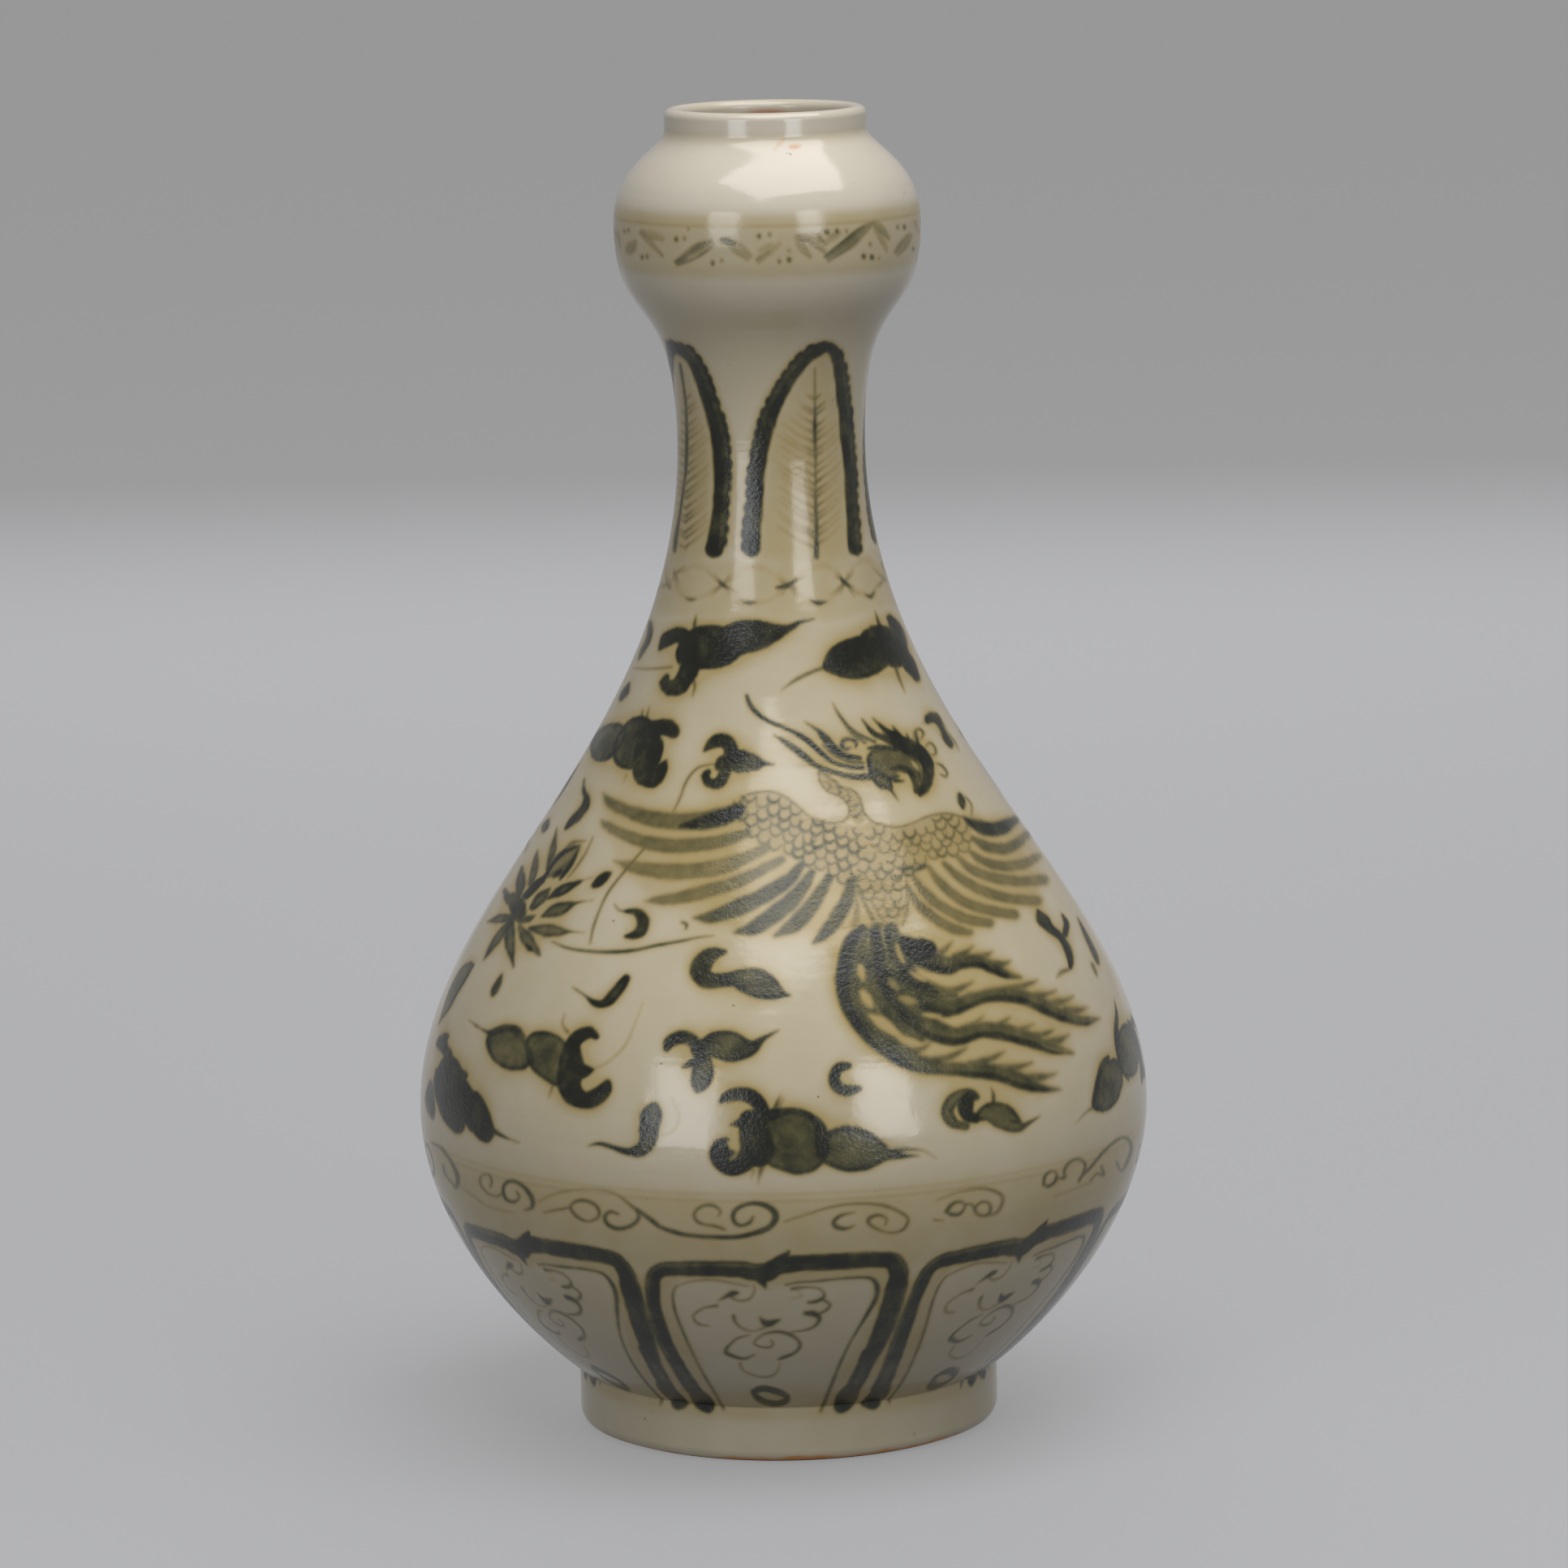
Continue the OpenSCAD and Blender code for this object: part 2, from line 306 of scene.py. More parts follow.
def hand_tremor():
    """Smooth unevenness of the hand, in photo pixels, on the front canvas."""
    rows, columns = photo_x.shape
    grid = (rows // TREMOR_CELL + 3, columns // TREMOR_CELL + 3)
    cells = np.random.default_rng(TREMOR_SEED).standard_normal(grid)
    shake = between(cells, np.arange(rows) / TREMOR_CELL, np.arange(columns) / TREMOR_CELL)
    return (TREMOR_PX * shake).astype(np.float32)


tremor = hand_tremor()


def smooth(points, step):
    """Catmull-Rom curve through points, as samples about one step apart."""
    p = np.array(points, float)
    p = np.vstack([2 * p[0] - p[1], p, 2 * p[-1] - p[-2]])
    samples = []
    for k in range(1, len(p) - 2):
        span = np.hypot(*(p[k + 1] - p[k])[:2])
        count = max(2, int(math.ceil(span / step)))
        t = np.linspace(0, 1, count, endpoint=False)[:, None]
        samples.append(0.5 * (2 * p[k] + (p[k + 1] - p[k - 1]) * t
                              + (2 * p[k - 1] - 5 * p[k] + 4 * p[k + 1] - p[k + 2]) * t ** 2
                              + (3 * p[k] - p[k - 1] - 3 * p[k + 1] + p[k + 2]) * t ** 3))
    samples.append(p[-2][None, :])
    return np.concatenate(samples)


def block_around(low_x, high_x, low_y, high_y):
    """Rows and columns of the front canvas that the photograph shows within a box."""
    x = photo_x[::COARSE, ::COARSE]
    y = photo_y[::COARSE, ::COARSE]
    near = (x > low_x) & (x < high_x) & (y > low_y) & (y < high_y)
    rows = np.flatnonzero(near.any(axis=1))
    columns = np.flatnonzero(near.any(axis=0))
    if len(rows) == 0:
        return None
    return (slice(max(0, (rows[0] - 1) * COARSE), (rows[-1] + 2) * COARSE),
            slice(max(0, (columns[0] - 1) * COARSE), (columns[-1] + 2) * COARSE))


def reached(low, high, start, end, reach):
    """The rows or columns, spanning low to high each, that come near a stretch, as one slice."""
    near = np.flatnonzero((high > min(start, end) - reach) & (low < max(start, end) + reach))
    return slice(near[0], near[-1] + 1) if len(near) else None


def stretch_distance(x, y, run):
    """Distance of places from a stretch that starts at zero, and the share of it each is next to."""
    part = np.clip((x * run[0] + y * run[1]) / max(run[0] ** 2 + run[1] ** 2, TINY), 0, 1)
    return np.hypot(x - part * run[0], y - part * run[1]), part


def stroke_distance(points):
    """Signed distance in photo pixels from a tapered stroke, on a block of the front canvas."""
    p = smooth(points, STROKE_STEP_PX)
    p[:, 2] = np.maximum(p[:, 2], THINNEST_PX) / 2
    margin = p[:, 2].max() + BLOCK_MARGIN_PX
    block = block_around(p[:, 0].min() - margin, p[:, 0].max() + margin,
                         p[:, 1].min() - margin, p[:, 1].max() + margin)
    if block is None:
        return None
    px = photo_x[block]
    py = photo_y[block]
    far = np.full(px.shape, UNTOUCHED_PX, np.float32)
    row_low = py.min(axis=1)
    row_high = py.max(axis=1)
    col_low = np.where(px > 0, px, UNSEEN_PX).min(axis=0)
    col_high = px.max(axis=0)
    for a, b in zip(p[:-1], p[1:]):
        reach = max(a[2], b[2]) + STRETCH_MARGIN_PX
        rows = reached(row_low, row_high, a[1], b[1], reach)
        columns = reached(col_low, col_high, a[0], b[0], reach)
        if rows is None or columns is None:
            continue
        run = b - a
        away, part = stretch_distance(px[rows, columns] - a[0], py[rows, columns] - a[1], run)
        np.minimum(far[rows, columns], away - (a[2] + part * run[2]), out=far[rows, columns])
    return block, far


def fill_distance(outline):
    """Signed distance in photo pixels from a closed outline, below zero inside it."""
    p = np.array(outline, float)
    low = p.min(axis=0) - BLOCK_MARGIN_PX
    high = p.max(axis=0) + BLOCK_MARGIN_PX
    block = block_around(low[0], high[0], low[1], high[1])
    px = photo_x[block]
    py = photo_y[block]
    far = np.full(px.shape, UNTOUCHED_PX, np.float32)
    inside = np.zeros(px.shape, bool)
    for a, b in zip(p, np.roll(p, -1, axis=0)):
        run = b - a
        x = px - a[0]
        y = py - a[1]
        np.minimum(far, stretch_distance(x, y, run)[0], out=far)
        if run[1]:
            inside ^= ((a[1] > py) != (b[1] > py)) & (x < y * run[0] / run[1])
    return block, np.where(inside, -far, far)


def press(layer, where, tone, turns, edge=EDGE_PX, pool=0.0, unsteady=1.0):
    """Lay a tone on the canvas. A tone below zero thins what is there to that much."""
    if where is None:
        return
    (rows, columns), d = where
    d = d + unsteady * tremor[rows, columns] + limb_closing[rows, columns]
    cover = np.clip(0.5 - d / edge, 0, 1)
    cover = cover * cover * (3 - 2 * cover)
    gathered = pool * np.exp(-((d + POOL_PX) / POOL_WIDE_PX) ** 2)
    depth = np.minimum(abs(tone) + gathered, INK_MOST)
    front = np.arange(columns.start, columns.start + d.shape[1]) - FRONT_HALF
    for degrees in turns:
        at = (front + int(round(degrees * CANVAS_COLS / 360))) % CANVAS_COLS
        under = layer[rows, at]
        if tone < 0:
            layer[rows, at] = under * (1 - cover) + depth * cover
        else:
            layer[rows, at] = np.maximum(under, cover * depth)


def paint_strokes(strokes, turns=(0,), layer=ink, edge=EDGE_PX, pool=POOL_TONE):
    for tone, points in strokes:
        gathered = pool if POOL_LEAST < tone < POOL_MOST else 0.0
        unsteady = min(1.0, max(p[2] for p in points) / TREMOR_FULL_PX) ** 2
        press(layer, stroke_distance(points), tone, turns, edge, gathered, unsteady)


def paint_fill(outline, tone, turns=(0,), layer=ink, edge=EDGE_PX):
    press(layer, fill_distance(outline), tone, turns, edge)


def widened(strokes, share):
    return [(tone, [(x, y, w * share) for x, y, w in points]) for tone, points in strokes]


def toned(strokes, share):
    return [(tone * share, points) for tone, points in strokes]


# Two uneven numbers, which scatter what wobble gives
WOBBLE_STEP = 12.9898
WOBBLE_GAIN = 43758.5453


def wobble(k):
    """A fixed number from 0 to 1 that differs from one k to the next. Each use makes a k of its own."""
    return math.sin(k * WOBBLE_STEP) * WOBBLE_GAIN % 1


def unevenly(k, least=0.7, spread=0.5):
    """A share that differs from step to step, for an uneven hand."""
    return least + spread * wobble(k)


# Brushwork: the motifs on the belly, as (tone, [(x, y, width), ...]) in photo pixels

CLOUD_A = [
    (0.93, [(890, 796, 42), (912, 786, 42), (932, 783, 38), (952, 780, 24), (972, 774, 10),
        (985, 767, 5), (1003, 763, 2)]),
    (0.93, [(852, 806, 40), (866, 798, 54), (882, 797, 54), (893, 796, 44)]),
    (0.95, [(850, 795, 24), (842, 785, 22), (832, 783, 20), (820, 790, 16), (813, 800, 4)]),
    (0.95, [(852, 808, 26), (848, 828, 24), (838, 844, 22), (826, 848, 20), (819, 842, 14),
        (822, 833, 7)]),
    (0.5, [(858, 757, 1), (856, 768, 5), (855, 778, 6)]),
    (0.5, [(853, 832, 6), (856, 845, 4), (853, 859, 1)]),
]
CLOUD_B = [
    (0.45, [(962, 851, 1), (980, 838, 5), (1000, 828, 5), (1017, 822, 6)]),
    (0.93, [(1016, 822, 6), (1026, 818, 24), (1040, 813, 44), (1055, 811, 53), (1070, 808, 50),
        (1082, 803, 44)]),
    (0.93, [(1066, 796, 26), (1080, 788, 36), (1094, 789, 34)]),
    (0.93, [(1092, 800, 36), (1104, 806, 34)]),
    (0.95, [(1096, 761, 8), (1103, 772, 14), (1110, 788, 14), (1113, 804, 12)]),
    (0.95, [(1113, 806, 16), (1121, 820, 16), (1130, 836, 8)]),
    (0.5, [(1104, 824, 5), (1108, 836, 4), (1115, 853, 1)]),
    (0.5, [(1078, 753, 1), (1083, 768, 6)]),
]
CLOUD_C = [
    (0.78, [(738, 929, 20), (744, 920, 34), (752, 910, 36), (760, 903, 26)]),
    (0.82, [(770, 936, 24), (776, 926, 44), (782, 914, 48), (788, 902, 40), (792, 896, 26)]),
    (0.95, [(797, 912, 26), (803, 902, 24), (813, 896, 21), (824, 897, 22), (829, 901, 18)]),
    (0.95, [(800, 918, 36), (798, 930, 36), (793, 945, 30), (794, 956, 26), (803, 959, 24),
        (811, 953, 20), (817, 945, 13), (820, 938, 5)]),
    (0.95, [(800, 930, 26), (809, 924, 12), (815, 921, 3)]),
    (0.5, [(791, 893, 6), (791, 882, 4), (792, 873, 1)]),
    (0.45, [(796, 890, 4), (798, 879, 3), (800, 870, 1)]),
    (0.3, [(772, 954, 4), (767, 966, 1)]),
]
CLOUD_D = [
    (0.92, [(902, 932, 18), (899, 918, 18), (889, 912, 18), (877, 916, 14), (868, 925, 4)]),
    (0.85, [(886, 944, 12), (900, 938, 24), (914, 938, 29), (930, 940, 19), (941, 941, 7),
        (954, 942, 1)]),
    (0.92, [(891, 940, 18), (893, 952, 16), (886, 964, 15), (875, 965, 13), (869, 957, 11),
        (873, 951, 8)]),
]
CLOUD_E = [
    (0.67, [(607, 1278, 14), (618, 1285, 40), (628, 1294, 48), (638, 1300, 40)]),
    (0.85, [(578, 1257, 1), (590, 1266, 3), (597, 1270, 4), (606, 1273, 10), (622, 1267, 11),
        (638, 1269, 9), (646, 1277, 5)]),
    (0.7, [(664, 1288, 36), (674, 1298, 54), (684, 1310, 52), (690, 1322, 36)]),
    (0.88, [(645, 1284, 6), (652, 1296, 10), (657, 1308, 6)]),
    (0.95, [(704, 1300, 24), (706, 1286, 20), (714, 1277, 18), (726, 1272, 16), (734, 1277, 9)]),
    (0.95, [(704, 1296, 26), (703, 1316, 34), (701, 1336, 30), (708, 1350, 26), (722, 1356, 22),
        (737, 1350, 22), (746, 1341, 16), (749, 1334, 8)]),
    (0.95, [(702, 1318, 30), (716, 1320, 20), (731, 1318, 3)]),
    (0.3, [(732, 1317, 3), (750, 1308, 3), (771, 1287, 3), (784, 1257, 2), (792, 1236, 1)]),
    (0.4, [(700, 1272, 5), (693, 1262, 3), (696, 1248, 1)]),
    (0.4, [(681, 1338, 4), (676, 1353, 1)]),
]
CLOUD_F = [
    (0.92, [(821, 1292, 8), (826, 1283, 15), (840, 1278, 17), (853, 1282, 17), (862, 1293, 18)]),
    (0.78, [(858, 1294, 16), (878, 1288, 30), (897, 1289, 38), (912, 1292, 30), (926, 1291, 18),
        (942, 1279, 7), (960, 1269, 1)]),
    (0.9, [(841, 1315, 3), (850, 1311, 9), (864, 1304, 14)]),
    (0.7, [(866, 1304, 22), (866, 1320, 28), (863, 1333, 24), (859, 1343, 10)]),
]
CLOUD_G = [
    (0.95, [(888, 1357, 6), (897, 1351, 15), (912, 1348, 18), (927, 1352, 19), (937, 1363, 19),
        (938, 1378, 22)]),
    (0.95, [(900, 1386, 3), (912, 1384, 12), (926, 1382, 26)]),
    (0.95, [(896, 1404, 6), (887, 1410, 15), (882, 1421, 17), (888, 1433, 19), (901, 1439, 20),
        (915, 1434, 24), (925, 1420, 28)]),
    (0.95, [(893, 1412, 8), (896, 1422, 12), (903, 1420, 6)]),
    (0.95, [(924, 1380, 26), (930, 1398, 40), (934, 1416, 44)]),
    (0.74, [(956, 1400, 62), (972, 1404, 80), (984, 1408, 80)]),
    (0.93, [(932, 1380, 22), (950, 1374, 15), (974, 1370, 10), (996, 1374, 9), (1010, 1386, 8)]),
    (0.9, [(1009, 1392, 12), (1011, 1404, 16), (1012, 1420, 14)]),
    (0.72, [(1028, 1416, 44), (1046, 1416, 57), (1062, 1418, 50), (1080, 1420, 30), (1095, 1422, 14),
        (1112, 1424, 8), (1134, 1424, 2)]),
    (0.88, [(1022, 1398, 12), (1040, 1391, 9), (1058, 1391, 6)]),
    (0.5, [(1096, 1419, 8), (1115, 1416, 6), (1138, 1418, 3), (1153, 1427, 1)]),
    (0.5, [(953, 1370, 7), (958, 1358, 5), (962, 1348, 1)]),
    (0.4, [(960, 1366, 4), (966, 1351, 1)]),
    (0.45, [(939, 1436, 8), (936, 1448, 5), (934, 1460, 1)]),
    (0.35, [(928, 1442, 4), (926, 1453, 1)]),
]
CLOUD_H = [
    (0.62, [(1203, 1352, 10), (1196, 1346, 10), (1182, 1349, 14), (1170, 1360, 16), (1167, 1372, 16),
        (1176, 1384, 14), (1190, 1388, 10)]),
    (0.93, [(1196, 1350, 14), (1190, 1362, 20), (1192, 1374, 16), (1202, 1378, 12)]),
    (0.66, [(1206, 1376, 12), (1220, 1370, 24), (1234, 1375, 32), (1248, 1384, 24), (1258, 1388, 12),
        (1272, 1381, 4), (1282, 1375, 1)]),
    (0.9, [(1243, 1380, 4), (1250, 1382, 6), (1257, 1384, 4)]),
    (0.5, [(1221, 1340, 2), (1224, 1348, 5), (1224, 1358, 6)]),
]
# Motifs on the two limbs, drawn as the photograph would show them with the vase turned by 60 degrees
RIGHT_LIMB = [
    (0.76, [(948, 1412, 22), (966, 1404, 46), (988, 1396, 56), (1010, 1388, 46)]),
    (0.92, [(1000, 1362, 6), (974, 1370, 9), (953, 1392, 11), (938, 1414, 8), (960, 1424, 6)]),
    (0.76, [(1044, 1374, 40), (1064, 1368, 62), (1086, 1364, 66), (1104, 1362, 50)]),
    (0.92, [(1085, 1296, 2), (1068, 1318, 10), (1044, 1338, 13), (1031, 1360, 11), (1034, 1384, 9),
        (1052, 1400, 6)]),
    (0.95, [(1114, 1338, 18), (1130, 1350, 30), (1137, 1372, 34), (1132, 1394, 28), (1120, 1410, 12)]),
    (0.95, [(1130, 1346, 20), (1147, 1336, 16), (1162, 1341, 11), (1166, 1352, 5)]),
    (0.95, [(1134, 1392, 24), (1150, 1403, 18), (1166, 1397, 11), (1170, 1386, 4)]),
    (0.4, [(938, 1416, 6), (918, 1420, 4), (895, 1429, 1)]),
]
LEFT_LIMB = [
    (0.85, [(849, 971, 3), (843, 985, 14), (838, 1000, 19), (834, 1014, 15), (829, 1031, 3)]),
    (0.66, [(870, 1237, 4), (846, 1252, 32), (828, 1272, 46), (821, 1296, 30), (812, 1326, 3)]),
    (0.84, [(868, 1239, 5), (861, 1258, 8), (850, 1278, 8), (842, 1298, 6), (812, 1326, 2)]),
]
LIMB_TURNS = [(RIGHT_LIMB, (60, 240)), (LEFT_LIMB, (-60, 120))]
CLOUD_K = [
    (0.95, [(549, 1276, 8), (544, 1286, 14), (551, 1297, 12), (553, 1310, 10)]),
    (0.95, [(554, 1314, 26), (554, 1332, 40), (556, 1352, 38), (560, 1372, 32), (564, 1388, 18)]),
    (0.95, [(584, 1352, 16), (588, 1366, 26), (592, 1382, 30), (598, 1396, 22), (600, 1404, 8)]),
    (0.95, [(541, 1320, 10), (556, 1322, 20), (570, 1325, 14)]),
    (0.95, [(566, 1340, 26), (574, 1356, 28), (580, 1372, 26), (585, 1388, 16)]),
    (0.9, [(600, 1388, 10), (612, 1396, 6), (626, 1403, 3), (640, 1408, 1)]),
    (0.85, [(531, 1332, 4), (529, 1350, 11), (531, 1366, 11), (533, 1378, 4)]),
]
VINE = [
    (0.5, [(880, 941, 2), (860, 946, 3), (846, 962, 3.5), (838, 983, 3.5), (829, 1001, 2)]),
    (0.5, [(808, 1031, 2), (795, 1044, 3), (781, 1060, 3.5), (765, 1079, 3.5), (749, 1100, 3.5),
        (739, 1121, 3.5), (731, 1143, 3.5), (727, 1163, 2)]),
    (0.66, [(680, 1160, 2), (699, 1168, 3.5), (725, 1172, 4), (752, 1173, 5), (781, 1171, 4.5),
        (808, 1165, 4), (837, 1160, 3.5), (861, 1155, 2.5), (880, 1153, 1)]),
    (0.45, [(780, 823, 2), (800, 824, 3), (828, 822, 3)]),
]
CREST = [
    (0.74, [(920, 857, 4), (924, 868, 6), (932, 878, 6), (944, 887, 5.5), (962, 895, 5), (982, 904, 6),
        (997, 914, 7), (1010, 926, 7), (1025, 938, 6), (1045, 945, 5), (1064, 946, 5)]),
    (0.6, [(991, 889, 1.5), (1002, 896, 4), (1012, 903, 6)]),
    (0.8, [(1008, 900, 4), (1016, 909, 10), (1026, 920, 10), (1039, 930, 7), (1060, 934, 5)]),
    (0.5, [(1014, 918, 4), (1028, 930, 5), (1046, 938, 5), (1064, 940, 4)]),
    (0.62, [(954, 906, 2), (970, 916, 8), (990, 931, 9), (1007, 944, 7), (1030, 952, 7), (1050, 957, 8),
        (1072, 957, 10)]),
    (0.55, [(1026, 866, 1.5), (1034, 881, 4), (1045, 895, 5), (1060, 906, 5), (1078, 914, 5)]),
    (0.42, [(1040, 892, 2), (1050, 904, 5), (1066, 915, 5)]),
    (0.72, [(1062, 886, 2), (1076, 903, 7), (1092, 910, 8)]),
    (0.78, [(1076, 885, 2), (1090, 899, 7), (1106, 908, 10)]),
    (0.7, [(1100, 895, 2), (1112, 910, 7)]),
]
HEAD = [
    (0.66, [(1076, 930, 10), (1084, 938, 34), (1098, 940, 42), (1112, 938, 30), (1124, 946, 20),
        (1131, 960, 12)]),
    (0.68, [(1080, 956, 18), (1088, 963, 20), (1096, 969, 9)]),
    (0.93, [(1084, 907, 8), (1100, 912, 16), (1118, 919, 20), (1134, 929, 18), (1143, 943, 16),
        (1143, 960, 15), (1138, 972, 14), (1134, 979, 6)]),
    (0.86, [(1098, 948, 5), (1110, 945, 8), (1121, 950, 9), (1127, 962, 9), (1130, 974, 9)]),
    (0.78, [(1075, 924, 3), (1071, 938, 5), (1073, 954, 5), (1080, 963, 4)]),
    (0.8, [(1070, 922, 4), (1086, 920, 6), (1104, 924, 6)]),
    (0.74, [(1094, 958, 5), (1104, 962, 6), (1114, 962, 3)]),
    (0.7, [(1088, 968, 6), (1098, 974, 4), (1107, 987, 1)]),
    (0.7, [(1082, 966, 5), (1086, 973, 2)]),
    (-0.2, [(1124, 939, 3), (1128, 943, 5), (1132, 949, 2)]),
    (-0.1, [(1106, 953, 2), (1113, 955, 5), (1120, 961, 3)]),
    (0.84, [(1089, 898, 1.5), (1099, 908, 7)]),
    (0.84, [(1101, 897, 1.5), (1108, 909, 7)]),
    (0.84, [(1117, 904, 1.5), (1121, 916, 7)]),
    (0.84, [(1129, 902, 1.5), (1131, 920, 7)]),
    (0.85, [(1054, 921, 3), (1055, 915, 5), (1048, 911, 5), (1040, 912, 6), (1037, 918, 6),
        (1042, 923, 5), (1048, 921, 3)]),
    (0.66, [(1126, 911, 2), (1127, 902, 3), (1133, 898, 3), (1138, 904, 3), (1134, 911, 2)]),
    (0.66, [(1141, 919, 2), (1146, 915, 3), (1152, 921, 3), (1153, 929, 3), (1148, 930, 2)]),
    (0.66, [(1154, 941, 2), (1160, 943, 3), (1167, 952, 3), (1165, 957, 3), (1159, 954, 2)]),
]
THROAT = [
    (0.24, [(1014, 956, 6), (1020, 967, 14), (1036, 975, 14), (1050, 982, 15), (1056, 998, 15),
        (1058, 1010, 14)]),
    (0.6, [(1009, 949, 2.5), (1010, 962, 2.8), (1020, 975, 3), (1035, 981, 3), (1044, 990, 3),
        (1047, 1000, 2.8), (1042, 1010, 2.5), (1030, 1014, 2.5), (1012, 1013, 2)]),
    (0.6, [(1010, 949, 2.5), (1019, 956, 2.8), (1029, 963, 3), (1037, 970, 3), (1052, 975, 3),
        (1060, 985, 3), (1064, 1000, 2.8), (1073, 1011, 2.5), (1090, 1017, 2.5), (1107, 1019, 2.5),
        (1125, 1014, 2.5), (1140, 1007, 2.5), (1155, 1003, 2.5), (1172, 1003, 2.5), (1188, 1007, 2)]),
    (0.55, [(908, 992, 3), (918, 981, 3), (936, 976, 3), (953, 976, 3), (968, 982, 2.8), (982, 993, 2.5),
        (998, 1006, 2.5), (1014, 1013, 2)]),
    (0.55, [(1018, 963, 2), (1024, 970, 4), (1018, 972, 2)]),
    (0.6, [(1030, 968, 2), (1036, 976, 4), (1030, 980, 2)]),
    (0.6, [(1044, 976, 2), (1047, 985, 4), (1043, 990, 2)]),
    (0.6, [(1060, 988, 2), (1053, 994, 4), (1048, 993, 2)]),
    (0.6, [(1062, 1000, 2), (1055, 1006, 4), (1048, 1004, 2)]),
]
LEFT_ARM = [
    (908, 990), (919, 980), (936, 976), (953, 975), (970, 981), (984, 993), (995, 1002), (1014, 1010),
    (1040, 1014), (1062, 1020), (1075, 1045), (1060, 1075), (1037, 1085), (1020, 1078), (997, 1064),
    (972, 1058), (950, 1042), (930, 1033), (916, 1022), (910, 1005),
]
RIGHT_ARM = [
    (1062, 1020), (1073, 1010), (1087, 1016), (1104, 1019), (1121, 1017), (1135, 1010), (1149, 1004),
    (1166, 1001), (1182, 1004), (1191, 1009), (1198, 1020), (1199, 1033), (1196, 1047), (1182, 1054),
    (1163, 1056), (1140, 1064), (1121, 1072), (1110, 1081),
]
TORSO = [
    (1054, 1080), (1058, 1095), (1065, 1109), (1073, 1123), (1080, 1137), (1090, 1144), (1106, 1142),
    (1113, 1131), (1115, 1114), (1113, 1095), (1110, 1080), (1098, 1064), (1078, 1040), (1068, 1052),
]
# Scales on each part of the body: outline, turn in degrees, width and height of a scale, tone
BODY_SCALES = [
    (LEFT_ARM, 26, 15.5, 14.5, 0.7),
    (RIGHT_ARM, -14, 14.0, 13.5, 0.6),
    (TORSO, 0, 15.0, 14.0, 0.58),
]
BODY_TONE = 0.2
BODY_TINT = 0.7
BODY_TINT_EDGE = 8.0
# One scale, as a U: places across and down in shares of its size, and widths in photo pixels
SCALE_SHAPE = [(-0.52, -0.12, 1.6), (-0.44, 0.3, 2.2), (-0.2, 0.56, 2.6), (0.05, 0.62, 2.8),
               (0.26, 0.54, 2.6), (0.45, 0.28, 2.2), (0.52, -0.12, 1.6)]
SCALE_ROWS = range(-12, 13)
SCALE_COLUMNS = range(-13, 14)
SCALE_ROW_STEP = 0.84
SCALE_STRAY = 0.34
SCALE_EDGE = 2.6
# The soft shade round each scale
SCALE_SHADE = 0.42
SCALE_SHADE_WIDEN = 2.6
SCALE_SHADE_EDGE = 5.0
# The thin wash under the feathers of each wing
LEFT_WASH = [
    (745, 980), (840, 1004), (905, 995), (950, 1040), (1036, 1082), (1056, 1092), (1070, 1120),
    (1062, 1150), (1006, 1160), (958, 1152), (908, 1147), (858, 1130), (800, 1109), (760, 1063),
    (745, 1015),
]
RIGHT_WASH = [
    (1192, 1008), (1246, 1014), (1264, 1032), (1280, 1058), (1284, 1088), (1274, 1110), (1248, 1128),
    (1218, 1138), (1192, 1149), (1166, 1143), (1130, 1118), (1114, 1094), (1112, 1078), (1150, 1062),
    (1196, 1048),
]
WASH_TONE = 0.05
WASH_TINT = 0.6
WASH_EDGE = 14.0
FEATHER_POOL = 0.05
FEATHER_EDGE = 8.0
WING_WIDEN = 1.4
LEFT_WING = [
    (0.58, [(743, 977, 2), (751, 988, 9), (772, 999, 12), (800, 1008, 15), (832, 1012, 16),
        (859, 1011, 16), (886, 1006, 16), (910, 998, 12)]),
    (0.93, [(838, 1018, 5), (862, 1014, 13), (886, 1008, 16), (910, 998, 12)]),
    (0.52, [(741, 1010, 2), (747, 1017, 8), (768, 1028, 11), (797, 1038, 13), (829, 1042, 14),
        (860, 1041, 13), (892, 1036, 12), (921, 1026, 9)]),
    (0.5, [(758, 1061, 2), (773, 1066, 9), (795, 1071, 13), (825, 1074, 15), (857, 1073, 15),
        (888, 1068, 15), (916, 1058, 12), (942, 1046, 9)]),
    (0.52, [(795, 1110, 2), (812, 1109, 9), (840, 1106, 12), (875, 1097, 13), (907, 1087, 12),
        (933, 1075, 11), (964, 1059, 8)]),
    (0.7, [(856, 1131, 3), (876, 1130, 11), (903, 1121, 15), (933, 1108, 15), (960, 1092, 14),
        (974, 1082, 12), (987, 1066, 8)]),
    (0.7, [(907, 1149, 4), (929, 1143, 13), (952, 1128, 16), (975, 1110, 15), (990, 1092, 12),
        (1000, 1075, 8)]),
    (0.68, [(955, 1153, 4), (977, 1140, 14), (995, 1122, 15), (1008, 1104, 13), (1021, 1082, 9)]),
    (0.66, [(1003, 1162, 4), (1020, 1146, 12), (1034, 1126, 14), (1044, 1108, 12), (1049, 1086, 9)]),
    (0.36, [(1048, 1154, 4), (1054, 1136, 7), (1056, 1118, 6), (1054, 1098, 4)]),
    (0.5, [(1051, 1076, 2), (1055, 1090, 4), (1062, 1106, 4), (1071, 1124, 4), (1080, 1142, 4)]),
    (0.45, [(1117, 1084, 3), (1118, 1104, 4), (1117, 1124, 4), (1112, 1140, 3)]),
]
